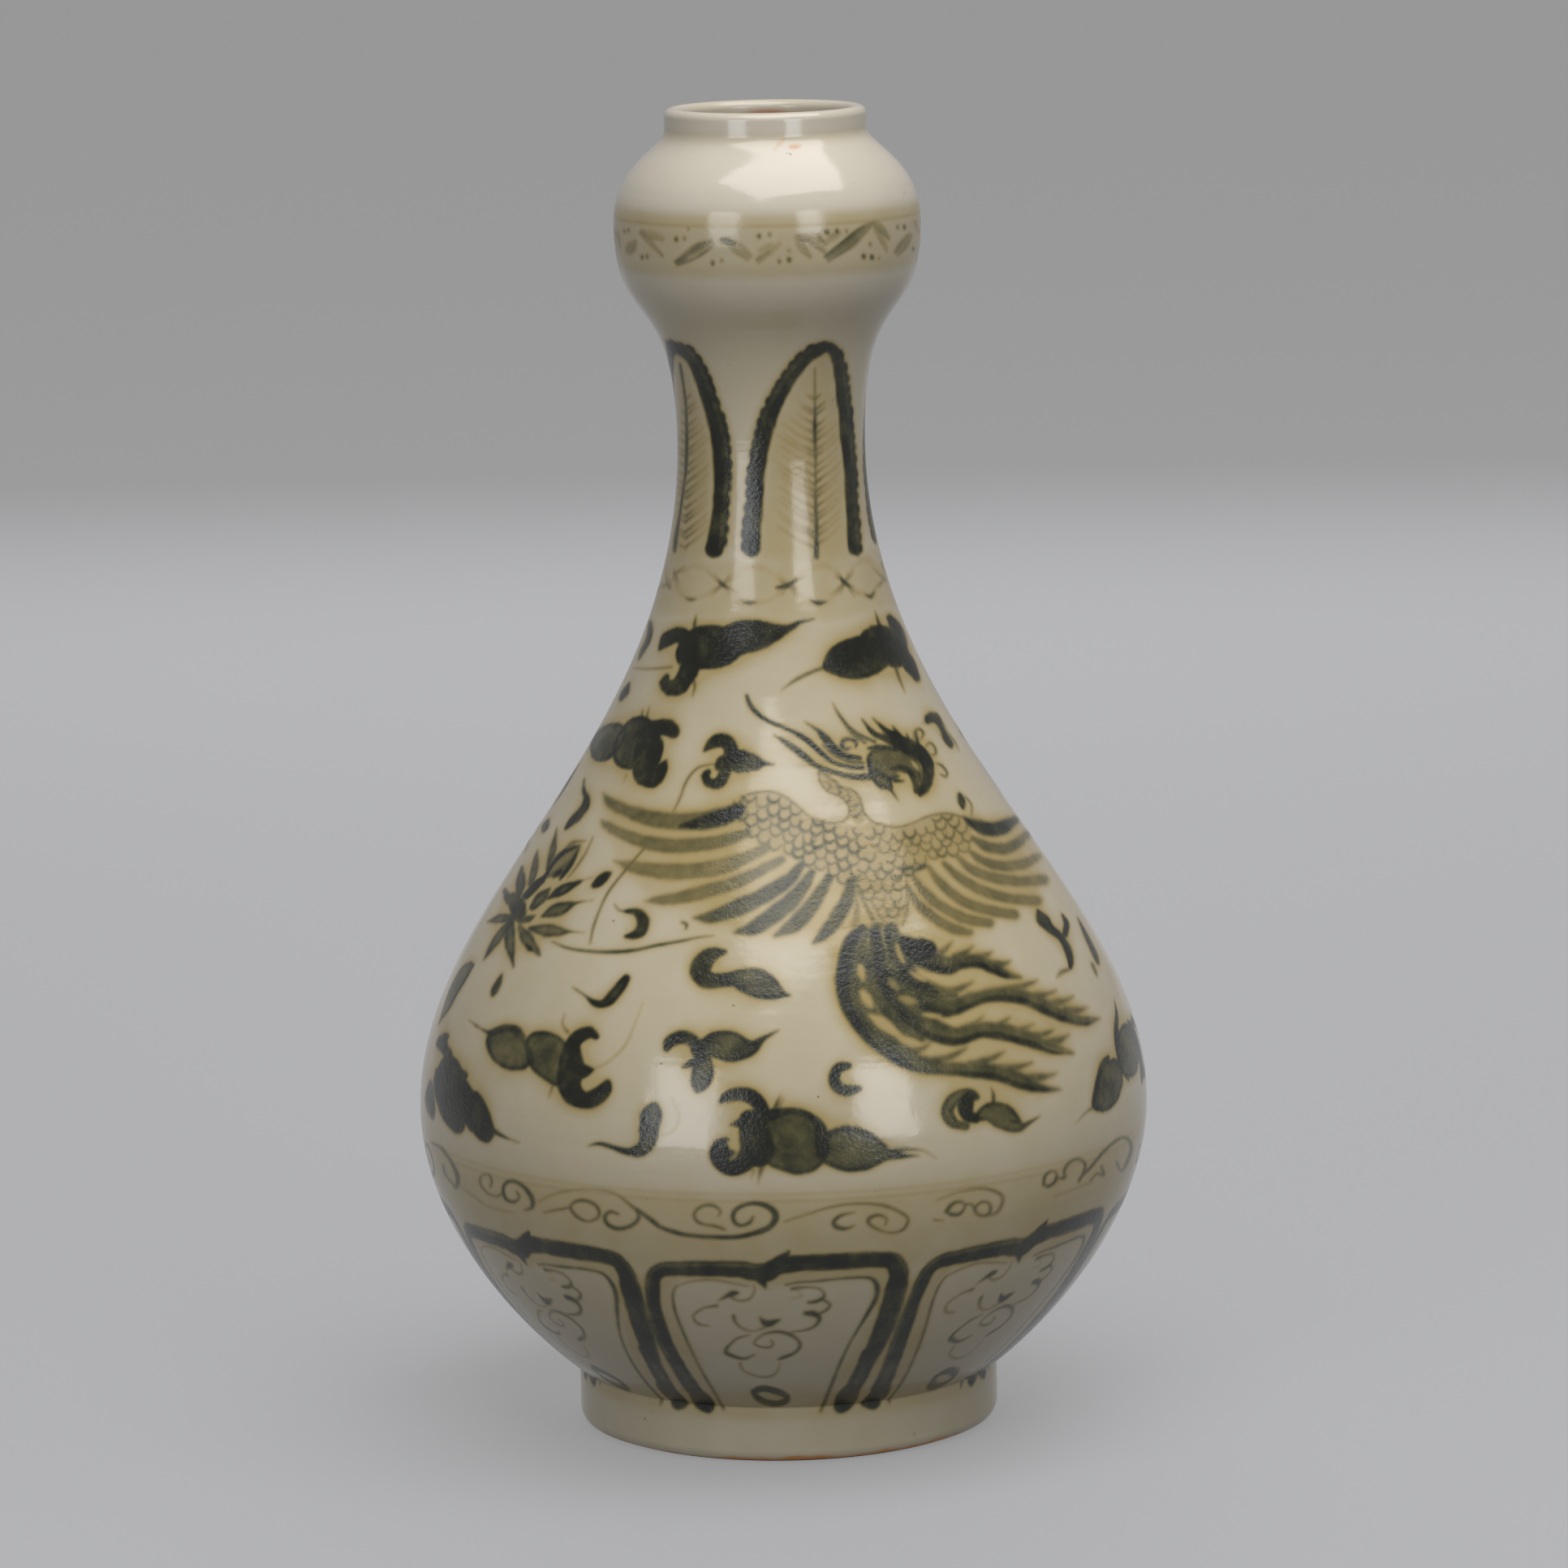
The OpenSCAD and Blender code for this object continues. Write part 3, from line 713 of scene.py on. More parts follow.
RIGHT_WING = [
    (0.9, [(1189, 1008, 4), (1202, 1016, 10), (1219, 1022, 13), (1236, 1019, 13), (1250, 1011, 8)]),
    (0.58, [(1199, 1033, 6), (1216, 1043, 10), (1236, 1046, 11), (1252, 1040, 10), (1265, 1028, 8)]),
    (0.52, [(1196, 1050, 5), (1216, 1063, 9), (1241, 1067, 10), (1261, 1064, 10), (1278, 1056, 8)]),
    (0.5, [(1180, 1056, 5), (1199, 1072, 9), (1227, 1082, 10), (1255, 1086, 10), (1286, 1084, 10)]),
    (0.5, [(1163, 1064, 5), (1182, 1081, 9), (1208, 1096, 10), (1238, 1106, 10), (1278, 1110, 10)]),
    (0.5, [(1143, 1067, 5), (1160, 1089, 9), (1185, 1109, 10), (1216, 1121, 10), (1250, 1127, 10)]),
    (0.5, [(1124, 1078, 5), (1140, 1100, 9), (1166, 1121, 10), (1194, 1133, 10), (1219, 1137, 9)]),
    (0.5, [(1118, 1092, 5), (1132, 1114, 9), (1152, 1131, 10), (1174, 1144, 10), (1194, 1149, 8)]),
    (0.8, [(1112, 1072, 4), (1122, 1069, 5)]),
    (0.8, [(1128, 1072, 4), (1139, 1067, 5)]),
]
# Tail plumes: a toned body, its dark lower edge, and barbs from (base) to (tip)
TAIL_BODY = [
    (0.72, [(1066, 1146, 10), (1056, 1170, 26), (1053, 1200, 34), (1060, 1232, 32), (1074, 1262, 30),
        (1094, 1286, 28), (1120, 1302, 24)]),
    (0.74, [(1080, 1144, 14), (1078, 1180, 22), (1078, 1210, 24), (1092, 1240, 22), (1112, 1264, 18),
        (1136, 1280, 10)]),
    (0.78, [(1098, 1145, 16), (1104, 1176, 26), (1114, 1200, 30), (1122, 1226, 32), (1134, 1250, 26)]),
    (0.72, [(1118, 1304, 18), (1148, 1313, 17), (1180, 1316, 14), (1212, 1317, 15), (1240, 1322, 16),
        (1264, 1332, 14), (1284, 1340, 8), (1306, 1342, 2)]),
    (0.71, [(1120, 1246, 18), (1148, 1264, 20), (1176, 1274, 17), (1206, 1267, 15), (1234, 1269, 16),
        (1260, 1275, 15), (1284, 1284, 12), (1304, 1291, 7), (1322, 1297, 2)]),
    (0.72, [(1110, 1222, 22), (1140, 1234, 24), (1172, 1239, 18), (1200, 1231, 16), (1228, 1224, 15),
        (1256, 1226, 16), (1282, 1236, 15), (1306, 1248, 13), (1328, 1255, 9), (1354, 1255, 2)]),
    (0.74, [(1126, 1176, 26), (1152, 1186, 22), (1176, 1187, 15), (1200, 1182, 13), (1222, 1189, 12),
        (1240, 1199, 8), (1258, 1204, 2)]),
    (0.68, [(1108, 1206, 14), (1136, 1213, 14), (1166, 1222, 12), (1196, 1212, 3)]),
]
TAIL_EDGE = [
    (0.9, [(1063, 1141, 5), (1049, 1160, 14), (1042, 1187, 16), (1039, 1213, 15), (1043, 1236, 14),
        (1054, 1258, 12), (1069, 1279, 9), (1088, 1297, 7), (1110, 1310, 7), (1136, 1319, 6),
        (1164, 1321, 6), (1198, 1323, 8), (1231, 1328, 9), (1260, 1338, 8), (1284, 1343, 5),
        (1308, 1343, 1)]),
    (0.8, [(1056, 1236, 6), (1066, 1260, 6), (1084, 1282, 5), (1104, 1298, 4)]),
    (0.7, [(1066, 1246, 4), (1080, 1270, 4), (1100, 1290, 3)]),
    (0.93, [(1078, 1150, 10), (1084, 1172, 13), (1084, 1196, 12), (1086, 1212, 10), (1096, 1228, 10),
        (1109, 1247, 10), (1124, 1262, 10), (1144, 1275, 10), (1171, 1283, 9), (1193, 1280, 8),
        (1209, 1274, 8), (1231, 1276, 9), (1253, 1281, 9), (1276, 1288, 8), (1296, 1296, 5),
        (1322, 1298, 1)]),
    (0.86, [(1100, 1214, 8), (1120, 1232, 9), (1144, 1244, 9), (1175, 1247, 8), (1198, 1238, 7),
        (1220, 1230, 8), (1253, 1231, 9), (1276, 1239, 9), (1298, 1250, 8), (1320, 1258, 6),
        (1338, 1261, 5), (1353, 1256, 1)]),
    (0.9, [(1131, 1184, 8), (1153, 1193, 9), (1171, 1195, 9), (1184, 1190, 8), (1207, 1188, 8),
        (1224, 1196, 7), (1242, 1203, 5), (1258, 1205, 1)]),
    (0.97, [(1114, 1160, 12), (1124, 1168, 20), (1136, 1171, 23), (1144, 1170, 18)]),
    (0.92, [(1096, 1148, 6), (1098, 1166, 7), (1106, 1184, 7), (1118, 1200, 6)]),
    (0.8, [(1128, 1222, 5), (1150, 1228, 6), (1178, 1226, 5)]),
]
TAIL_BARBS = [
    ((1118, 1298), (1147, 1285)), ((1152, 1309), (1191, 1291)), ((1196, 1313), (1239, 1295)),
    ((1231, 1318), (1272, 1309)), ((1262, 1329), (1303, 1322)), ((1180, 1272), (1211, 1253)),
    ((1213, 1269), (1244, 1254)), ((1242, 1272), (1273, 1262)), ((1269, 1278), (1298, 1269)),
    ((1291, 1286), (1317, 1275)), ((1160, 1226), (1198, 1210)), ((1196, 1229), (1227, 1215)),
    ((1231, 1222), (1278, 1208)), ((1267, 1229), (1300, 1221)), ((1291, 1238), (1322, 1228)),
    ((1313, 1246), (1340, 1241)), ((1151, 1180), (1173, 1160)), ((1178, 1181), (1199, 1165)),
    ((1200, 1182), (1223, 1172)), ((1222, 1189), (1245, 1184)),
]
BARB_TONE = 0.66
# A barb: shares of the way to its tip, with sag and width in photo pixels
BARB_SHAPE = [(0.0, 0.0, 15.0), (0.45, 2.0, 11.0), (0.75, 1.5, 6.5), (1.0, 0.0, 1.5)]
# Dark ink where the plumes spring from the body
TAIL_MASS = [
    (0.9, [(1074, 1146, 8), (1080, 1172, 15), (1087, 1196, 22), (1096, 1218, 24), (1108, 1240, 20),
        (1126, 1256, 12)]),
    (0.84, [(1104, 1166, 10), (1110, 1186, 18), (1118, 1200, 20), (1136, 1214, 18), (1156, 1224, 10)]),
    (0.92, [(1092, 1146, 8), (1096, 1166, 12), (1102, 1182, 12)]),
    (0.82, [(1118, 1226, 12), (1134, 1238, 18), (1152, 1246, 14), (1170, 1250, 8)]),
]
TAIL_WIDEN = 1.12
TAIL_SOFT = 9.0
TAIL_EDGE_SOFT = 7.0
TAIL_EDGE_WIDEN = 1.3
# Pale gaps left between the plumes
TAIL_GAPS = [
    (-0.1, [(1060, 1190, 5), (1061, 1198, 9), (1063, 1206, 5)]),
    (-0.1, [(1062, 1222, 6), (1068, 1231, 12), (1073, 1239, 6)]),
    (-0.1, [(1073, 1252, 6), (1088, 1261, 15), (1102, 1272, 10), (1108, 1276, 3)]),
    (-0.1, [(1108, 1280, 4), (1120, 1284, 9), (1136, 1287, 3)]),
    (-0.1, [(1122, 1198, 3), (1131, 1203, 7), (1140, 1208, 3)]),
    (-0.4, [(1096, 1206, 5), (1101, 1213, 9), (1106, 1218, 4)]),
    (-0.4, [(1110, 1230, 6), (1120, 1233, 10), (1130, 1235, 4)]),
    (-0.1, [(1138, 1250, 3), (1147, 1251, 6), (1158, 1252, 3)]),
    (-0.1, [(1105, 1164, 3), (1108, 1175, 5), (1114, 1186, 3)]),
]
FLOWER = [
    (0.85, [(634, 1106, 14), (638, 1118, 22), (640, 1130, 14)]),
    (0.62, [(674, 1071, 5), (681, 1048, 9), (686, 1020, 1)]),
    (0.6, [(653, 1090, 7), (659, 1068, 10), (662, 1047, 2)]),
    (0.66, [(639, 1103, 8), (642, 1086, 13), (643, 1068, 4)]),
    (0.66, [(622, 1097, 6), (627, 1108, 12), (634, 1117, 10)]),
    (0.5, [(676, 1078, 8), (690, 1062, 20), (704, 1050, 18), (714, 1043, 4)]),
    (0.78, [(668, 1088, 4), (680, 1066, 6), (694, 1051, 7), (714, 1042, 3)]),
    (0.78, [(690, 1083, 4), (700, 1070, 7), (708, 1056, 6), (714, 1043, 2)]),
    (0.4, [(696, 1046, 2), (706, 1038, 5), (722, 1036, 2)]),
    (0.42, [(731, 1031, 2), (721, 1052, 3), (709, 1070, 3), (699, 1082, 2)]),
    (0.82, [(648, 1104, 9), (660, 1091, 10), (672, 1079, 4)]),
    (0.78, [(682, 1080, 5), (687, 1076, 9), (692, 1072, 4)]),
    (0.66, [(656, 1118, 8), (667, 1106, 14), (677, 1095, 5)]),
    (0.74, [(675, 1107, 4), (692, 1097, 13), (708, 1089, 8), (718, 1085, 2)]),
    (0.4, [(718, 1085, 2), (730, 1081, 2)]),
    (0.64, [(668, 1129, 5), (685, 1122, 17), (700, 1116, 12), (712, 1112, 3), (731, 1109, 1)]),
    (0.6, [(653, 1144, 5), (672, 1146, 17), (688, 1147, 13), (702, 1148, 3), (720, 1149, 1)]),
    (0.58, [(641, 1142, 7), (649, 1157, 17), (658, 1168, 12), (666, 1178, 2)]),
    (0.8, [(647, 1163, 4), (652, 1168, 8), (657, 1172, 3)]),
    (0.66, [(630, 1136, 8), (628, 1158, 14), (633, 1192, 2)]),
    (0.58, [(627, 1136, 7), (611, 1159, 11), (595, 1184, 1)]),
    (0.62, [(632, 1130, 9), (616, 1132, 12), (600, 1136, 2)]),
    (0.66, [(640, 1136, 6), (651, 1132, 9), (660, 1128, 2)]),
]
LEAVES = [
    (0.85, [(801, 767, 5), (801, 778, 7), (798, 790, 7), (792, 801, 6), (787, 812, 3)]),
    (0.9, [(775, 842, 3), (771, 852, 9), (765, 861, 6)]),
    (0.85, [(1182, 979, 6), (1185, 987, 10), (1187, 995, 5)]),
    (0.5, [(1189, 981, 2), (1197, 992, 3), (1197, 1005, 2)]),
    (0.88, [(1143, 890, 5), (1145, 885, 12), (1151, 884, 13), (1157, 890, 8), (1162, 900, 7),
        (1166, 909, 9), (1171, 917, 8), (1172, 921, 3)]),
    (0.4, [(1137, 891, 2), (1143, 890, 4)]),
    (0.4, [(1168, 903, 2), (1177, 915, 3), (1182, 926, 1)]),
    (0.9, [(720, 960, 2), (719, 972, 4), (723, 983, 8), (721, 994, 10), (714, 1003, 11), (704, 1013, 9),
        (697, 1021, 3)]),
    (0.85, [(676, 1010, 3), (672, 1018, 9), (669, 1024, 4)]),
    (0.92, [(732, 1091, 8), (739, 1086, 13), (747, 1079, 10), (753, 1075, 3)]),
    (0.5, [(757, 1114, 2), (762, 1121, 3), (770, 1123, 4)]),
    (0.92, [(771, 1123, 5), (784, 1124, 11), (792, 1135, 16), (789, 1147, 15), (780, 1153, 10),
        (771, 1154, 4)]),
    (0.7, [(840, 1136, 3), (846, 1139, 4), (845, 1145, 2)]),
    (0.85, [(893, 1173, 6), (880, 1175, 16), (868, 1184, 24), (862, 1197, 26), (870, 1207, 22),
        (884, 1208, 19), (898, 1207, 18)]),
    (0.72, [(892, 1208, 16), (905, 1206, 20), (918, 1208, 30), (932, 1211, 37), (944, 1216, 32),
        (955, 1221, 20), (965, 1225, 9), (974, 1227, 3)]),
    (0.8, [(705, 1216, 1), (720, 1226, 3), (731, 1235, 8), (742, 1237, 11), (752, 1231, 14),
        (763, 1218, 14), (772, 1205, 10)]),
    (0.88, [(618, 1201, 3), (614, 1211, 8), (609, 1221, 9), (607, 1226, 5)]),
    (0.8, [(806, 1363, 12), (803, 1374, 26), (800, 1388, 25), (799, 1402, 22), (793, 1414, 19),
        (782, 1419, 14), (768, 1418, 8), (750, 1412, 5), (737, 1409, 4), (724, 1412, 1)]),
    (0.22, [(828, 1353, 2), (837, 1376, 3), (828, 1395, 3), (813, 1399, 2)]),
    (0.9, [(1046, 1313, 8), (1034, 1316, 13), (1028, 1327, 14), (1032, 1339, 15), (1045, 1344, 14),
        (1059, 1341, 7)]),
    (0.9, [(1279, 1122, 4), (1284, 1132, 14), (1293, 1143, 12), (1305, 1153, 10), (1314, 1166, 9),
        (1319, 1180, 8), (1319, 1192, 6)]),
    (0.8, [(1309, 1127, 3), (1314, 1138, 7), (1312, 1152, 8)]),
    (0.4, [(1318, 1194, 5), (1308, 1198, 7), (1302, 1205, 2)]),
    (0.7, [(1328, 1131, 2), (1339, 1154, 6), (1349, 1176, 7), (1353, 1187, 4)]),
    (0.4, [(1346, 1188, 5), (1350, 1198, 5), (1352, 1204, 2)]),
]
BELLY_MOTIFS = [CLOUD_A, CLOUD_B, CLOUD_C, CLOUD_D, CLOUD_E, CLOUD_F, CLOUD_G, CLOUD_H, CLOUD_K,
                VINE, FLOWER, LEAVES]
FRONT_AND_BACK = (0, 180)


def inside_outline(outline, x, y):
    """Whether a place lies inside a closed outline."""
    odd = False
    for (ax, ay), (bx, by) in zip(outline, outline[1:] + outline[:1]):
        if (ay > y) != (by > y) and x < ax + (y - ay) * (bx - ax) / (by - ay):
            odd = not odd
    return odd


def scale_strokes(outline, turn, wide, high, tone):
    """Rows of overlapping U-shaped scales within an outline, turned with it."""
    middle = np.mean(outline, axis=0)
    c = math.cos(math.radians(turn))
    s = math.sin(math.radians(turn))
    strokes = []
    for row in SCALE_ROWS:
        for column in SCALE_COLUMNS:
            across = SCALE_STRAY * (wobble(column + 31 * row) - 0.5)
            down = SCALE_STRAY * (wobble(column + 57 * row + 9) - 0.5)
            u = (column + 0.5 * (row % 2) + across) * wide
            v = (row + down) * high * SCALE_ROW_STEP
            x = middle[0] + u * c - v * s
            y = middle[1] + u * s + v * c
            if not inside_outline(outline, x, y):
                continue
            points = []
            for a, b, w in SCALE_SHAPE:
                point_x = x + a * wide * c - b * high * s
                point_y = y + a * wide * s + b * high * c
                if b > 0 or inside_outline(outline, point_x, point_y):
                    points.append((point_x, point_y, w))
            strokes.append((tone * unevenly(5 * column + 17 * row, least=0.8, spread=0.4), points))
    return strokes


def barb_strokes():
    strokes = []
    for (x0, y0), (x1, y1) in TAIL_BARBS:
        points = [(x0 + share * (x1 - x0), y0 + share * (y1 - y0) + sag, width)
                  for share, sag, width in BARB_SHAPE]
        strokes.append((BARB_TONE, points))
    return strokes


def paint_body():
    for outline, turn, wide, high, tone in BODY_SCALES:
        paint_fill(outline, BODY_TONE, FRONT_AND_BACK)
        paint_fill(outline, BODY_TINT, FRONT_AND_BACK, tint, BODY_TINT_EDGE)
        scales = scale_strokes(outline, turn, wide, high, tone)
        shades = toned(widened(scales, SCALE_SHADE_WIDEN), SCALE_SHADE)
        paint_strokes(shades, FRONT_AND_BACK, edge=SCALE_SHADE_EDGE)
        paint_strokes(scales, FRONT_AND_BACK, edge=SCALE_EDGE)


def paint_wings():
    for outline in (LEFT_WASH, RIGHT_WASH):
        paint_fill(outline, WASH_TONE, FRONT_AND_BACK, edge=WASH_EDGE)
        paint_fill(outline, WASH_TINT, FRONT_AND_BACK, tint, WASH_EDGE)
    for strokes in (LEFT_WING, RIGHT_WING):
        paint_strokes(widened(strokes, WING_WIDEN), FRONT_AND_BACK, edge=FEATHER_EDGE, pool=FEATHER_POOL)


def paint_tail():
    for strokes in (widened(TAIL_BODY, TAIL_WIDEN), barb_strokes()):
        paint_strokes(strokes, FRONT_AND_BACK, edge=TAIL_SOFT, pool=0.0)
    for strokes in (TAIL_MASS, widened(TAIL_EDGE, TAIL_EDGE_WIDEN), TAIL_GAPS):
        paint_strokes(strokes, FRONT_AND_BACK, edge=TAIL_EDGE_SOFT, pool=0.0)


def paint_belly():
    paint_body()
    paint_wings()
    paint_tail()
    for motif in [THROAT, CREST, HEAD] + BELLY_MOTIFS:
        paint_strokes(motif, FRONT_AND_BACK)
    for motif, turns in LIMB_TURNS:
        paint_strokes(motif, turns)


# Brushwork: the neck, the bulb and the two bands of the lower belly

# The front leaf of the neck, and the leaf at the left limb: border, midrib and outline of the inside
LEAF_OUTER = [
    (0.9, [(1017, 427, 15), (1008, 431, 17), (997, 437, 18), (985, 449, 19), (970, 469, 20),
        (958, 491, 21), (948, 511, 22), (943, 528, 22), (938, 548, 22), (934, 568, 22), (931, 588, 22),
        (930, 610, 22), (928, 635, 23), (926, 659, 24), (926, 676, 23)]),
    (0.9, [(1017, 427, 15), (1027, 432, 16), (1034, 449, 17), (1037, 469, 18), (1039, 489, 18),
        (1042, 511, 18), (1043, 533, 18), (1046, 558, 17), (1048, 583, 17), (1049, 610, 16),
        (1051, 637, 17), (1052, 662, 18), (1053, 676, 17)]),
]
LEAF_RIB = [
    (0.45, [(1004, 454, 2), (1004, 481, 3), (1004, 506, 4), (1004, 533, 6), (1005, 563, 5),
        (1005, 588, 3), (1005, 622, 5), (1006, 657, 7), (1006, 686, 8)]),
    (0.62, [(1004, 500, 3), (1004, 524, 5), (1004, 546, 4)]),
    (0.62, [(1006, 640, 4), (1006, 665, 6), (1006, 686, 7)]),
]
LEAF_INSIDE = [
    (1017, 434), (1000, 444), (985, 460), (970, 486), (958, 512), (950, 540), (944, 570), (940, 610),
    (936, 650), (934, 690), (1000, 694), (1050, 690), (1046, 650), (1042, 610), (1040, 570), (1036, 530),
    (1032, 490), (1028, 455),
]
SIDE_LEAF = [
    (0.92, [(829, 427, 14), (838, 430, 16), (848, 436, 17), (858, 450, 18), (868, 474, 20),
        (875, 495, 21), (882, 518, 22), (887, 538, 23), (889, 558, 23), (890, 583, 22), (889, 610, 21),
        (887, 635, 21), (884, 659, 24), (880, 676, 24)]),
    (0.62, [(838, 449, 4), (842, 474, 4), (845, 499, 4), (846, 523, 4), (846, 553, 5), (845, 578, 4),
        (841, 610, 4), (837, 637, 4), (833, 661, 6), (831, 679, 5)]),
]
SIDE_INSIDE = [
    (838, 440), (850, 460), (860, 486), (868, 512), (874, 540), (878, 570), (878, 610), (876, 650),
    (872, 690), (840, 694), (822, 690), (826, 650), (830, 610), (834, 560), (832, 500), (832, 450),
]
LEAF_TURNS = (0, 90, 180)
SIDE_TURNS = (0,)
# The far border of the leaf at the left limb is the front leaf's, turned by this
FAR_BORDER_TURNS = (-90,)
LEAF_TINT = 0.75
LEAF_TINT_EDGE = 10.0
BORDER_SHARE = 0.95
# Scalloped side of each stroke of a border, and the size of its scallops in photo pixels
LEAF_SCALLOPS = [(-1, 15), (1, 12)]
SIDE_SCALLOPS = [(1, 15)]
BUMP_TONE = 0.84
BUMP_SINK = 0.4
BUMP_PITCH = 17
BUMP_RUN = 3.0
LOBE_TONE = -0.8
LOBE_SHARE = 0.42
LOBE_RUN = 9.0
LOBE_EDGE = 6.0
# Veins of each leaf: x of the midrib, reach to the left and to the right
LEAF_VEINS = (1004, 52, 34)
SIDE_VEINS = (845, 14, 30)
# Rows of veins from top to bottom, in photo pixels, and the length over which they grow from the tip
VEIN_TOP = 490
VEIN_LOW = 684
VEIN_PITCH = 10.0
VEIN_DRIFT = 5.0
VEIN_GROW = 90.0
VEIN_LEAST = 0.25
VEIN_SHIFT = 4.0
# A vein: tone, distance of its start from the rib, rise at half way, widths and softness
VEIN_TONE = 0.24
VEIN_START = 2.0
VEIN_BEND = 0.42
VEIN_WIDTHS = (3.4, 4.2, 1.0)
VEIN_EDGE = 4.4
# Barbs of the midrib: reach and its spread, widths, and slant and tone on each side
RIB_BARB_REACH = 11.0
RIB_BARB_SPREAD = 5.0
RIB_BARB_WIDTHS = (4.0, 3.0, 1.0)
LEFT_SLANT = 0.6
LEFT_BARB_TONE = 0.4
RIGHT_SLANT = 0.85
RIGHT_BARB_TONE = 0.5


def bumps(points, side, size):
    """Soft scallops along one side of a stroke, and a paler lobe within each."""
    p = smooth(points, 1.0)
    run = unit(np.gradient(p[:, :2], axis=0))
    scallops = []
    lobes = []
    kinds = [(scallops, BUMP_TONE, size, BUMP_SINK * size, BUMP_RUN),
             (lobes, LOBE_TONE, LOBE_SHARE * size, LOBE_SHARE * size, LOBE_RUN)]
    gone = 0.0
    for k in range(1, len(p)):
        gone += np.hypot(*(p[k] - p[k - 1])[:2])
        if gone < BUMP_PITCH * unevenly(k, least=0.6, spread=0.8):
            continue
        gone = 0.0
        for strokes, tone, wide, sink, reach in kinds:
            out = p[k, 2] / 2 - sink
            x = p[k, 0] + side * run[k, 1] * out
            y = p[k, 1] - side * run[k, 0] * out
            strokes.append((tone, [(x, y, wide), (x + run[k, 0] * reach, y + run[k, 1] * reach, wide)]))
    return scallops, lobes


def rising(starts, side, reach, rise, half_rise, widths):
    """A short stroke that leaves the midrib and rises outward. It starts at (rib, first x, y)."""
    rib, first_x, y = starts
    return [(first_x, y, widths[0]),
            (rib + side * reach / 2, y - half_rise, widths[1]),
            (rib + side * reach, y - rise, widths[2])]


def leaf_veins(rib, left, right):
    """Barbs on the midrib, and fine veins that rise outward from them."""
    strokes = []
    sides = [(-1, left, LEFT_SLANT, LEFT_BARB_TONE), (1, right, RIGHT_SLANT, RIGHT_BARB_TONE)]
    for k in range(int((VEIN_LOW - VEIN_TOP) / VEIN_PITCH)):
        y = VEIN_TOP + k * VEIN_PITCH + VEIN_DRIFT * wobble(k)
        grown = min(1.0, (y - VEIN_TOP) / VEIN_GROW + VEIN_LEAST)
        share = grown * unevenly(k + 70, least=0.75, spread=0.35)
        for side, reach, slant, tone in sides:
            far = reach * share
            near = min(far, RIB_BARB_REACH + RIB_BARB_SPREAD * wobble(k + 20))
            start = y + VEIN_SHIFT * wobble(k + 33 * side)
            vein = rising((rib, rib + side * VEIN_START, start), side, far, far * slant,
                          VEIN_BEND * far * slant, VEIN_WIDTHS)
            barb = rising((rib, rib, start), side, near, near * slant, near * slant / 2, RIB_BARB_WIDTHS)
            strokes.append((VEIN_TONE, vein))
            strokes.append((tone, barb))
    return strokes


def paint_border(strokes, scalloped, turns):
    """A leaf's dark border with its scallops, on the side and at the size given for each stroke."""
    sides = [bumps(points, side, size) for (tone, points), (side, size) in zip(strokes, scalloped)]
    for scallops, lobes in sides:
        paint_strokes(scallops, turns)
    paint_strokes(widened(strokes, BORDER_SHARE), turns)
    for scallops, lobes in sides:
        paint_strokes(lobes, turns, edge=LOBE_EDGE)


def paint_neck():
    paint_fill(LEAF_INSIDE, LEAF_TINT, LEAF_TURNS, tint, LEAF_TINT_EDGE)
    paint_fill(SIDE_INSIDE, LEAF_TINT, SIDE_TURNS, tint, LEAF_TINT_EDGE)
    paint_strokes(leaf_veins(*LEAF_VEINS), LEAF_TURNS, edge=VEIN_EDGE)
    paint_strokes(leaf_veins(*SIDE_VEINS), SIDE_TURNS, edge=VEIN_EDGE)
    paint_strokes(LEAF_RIB, LEAF_TURNS)
    paint_border(LEAF_OUTER, LEAF_SCALLOPS, LEAF_TURNS)
    paint_border(LEAF_OUTER[:1], LEAF_SCALLOPS[:1], FAR_BORDER_TURNS)
    paint_border(SIDE_LEAF[:1], SIDE_SCALLOPS, SIDE_TURNS)
    paint_strokes(SIDE_LEAF[1:], SIDE_TURNS)


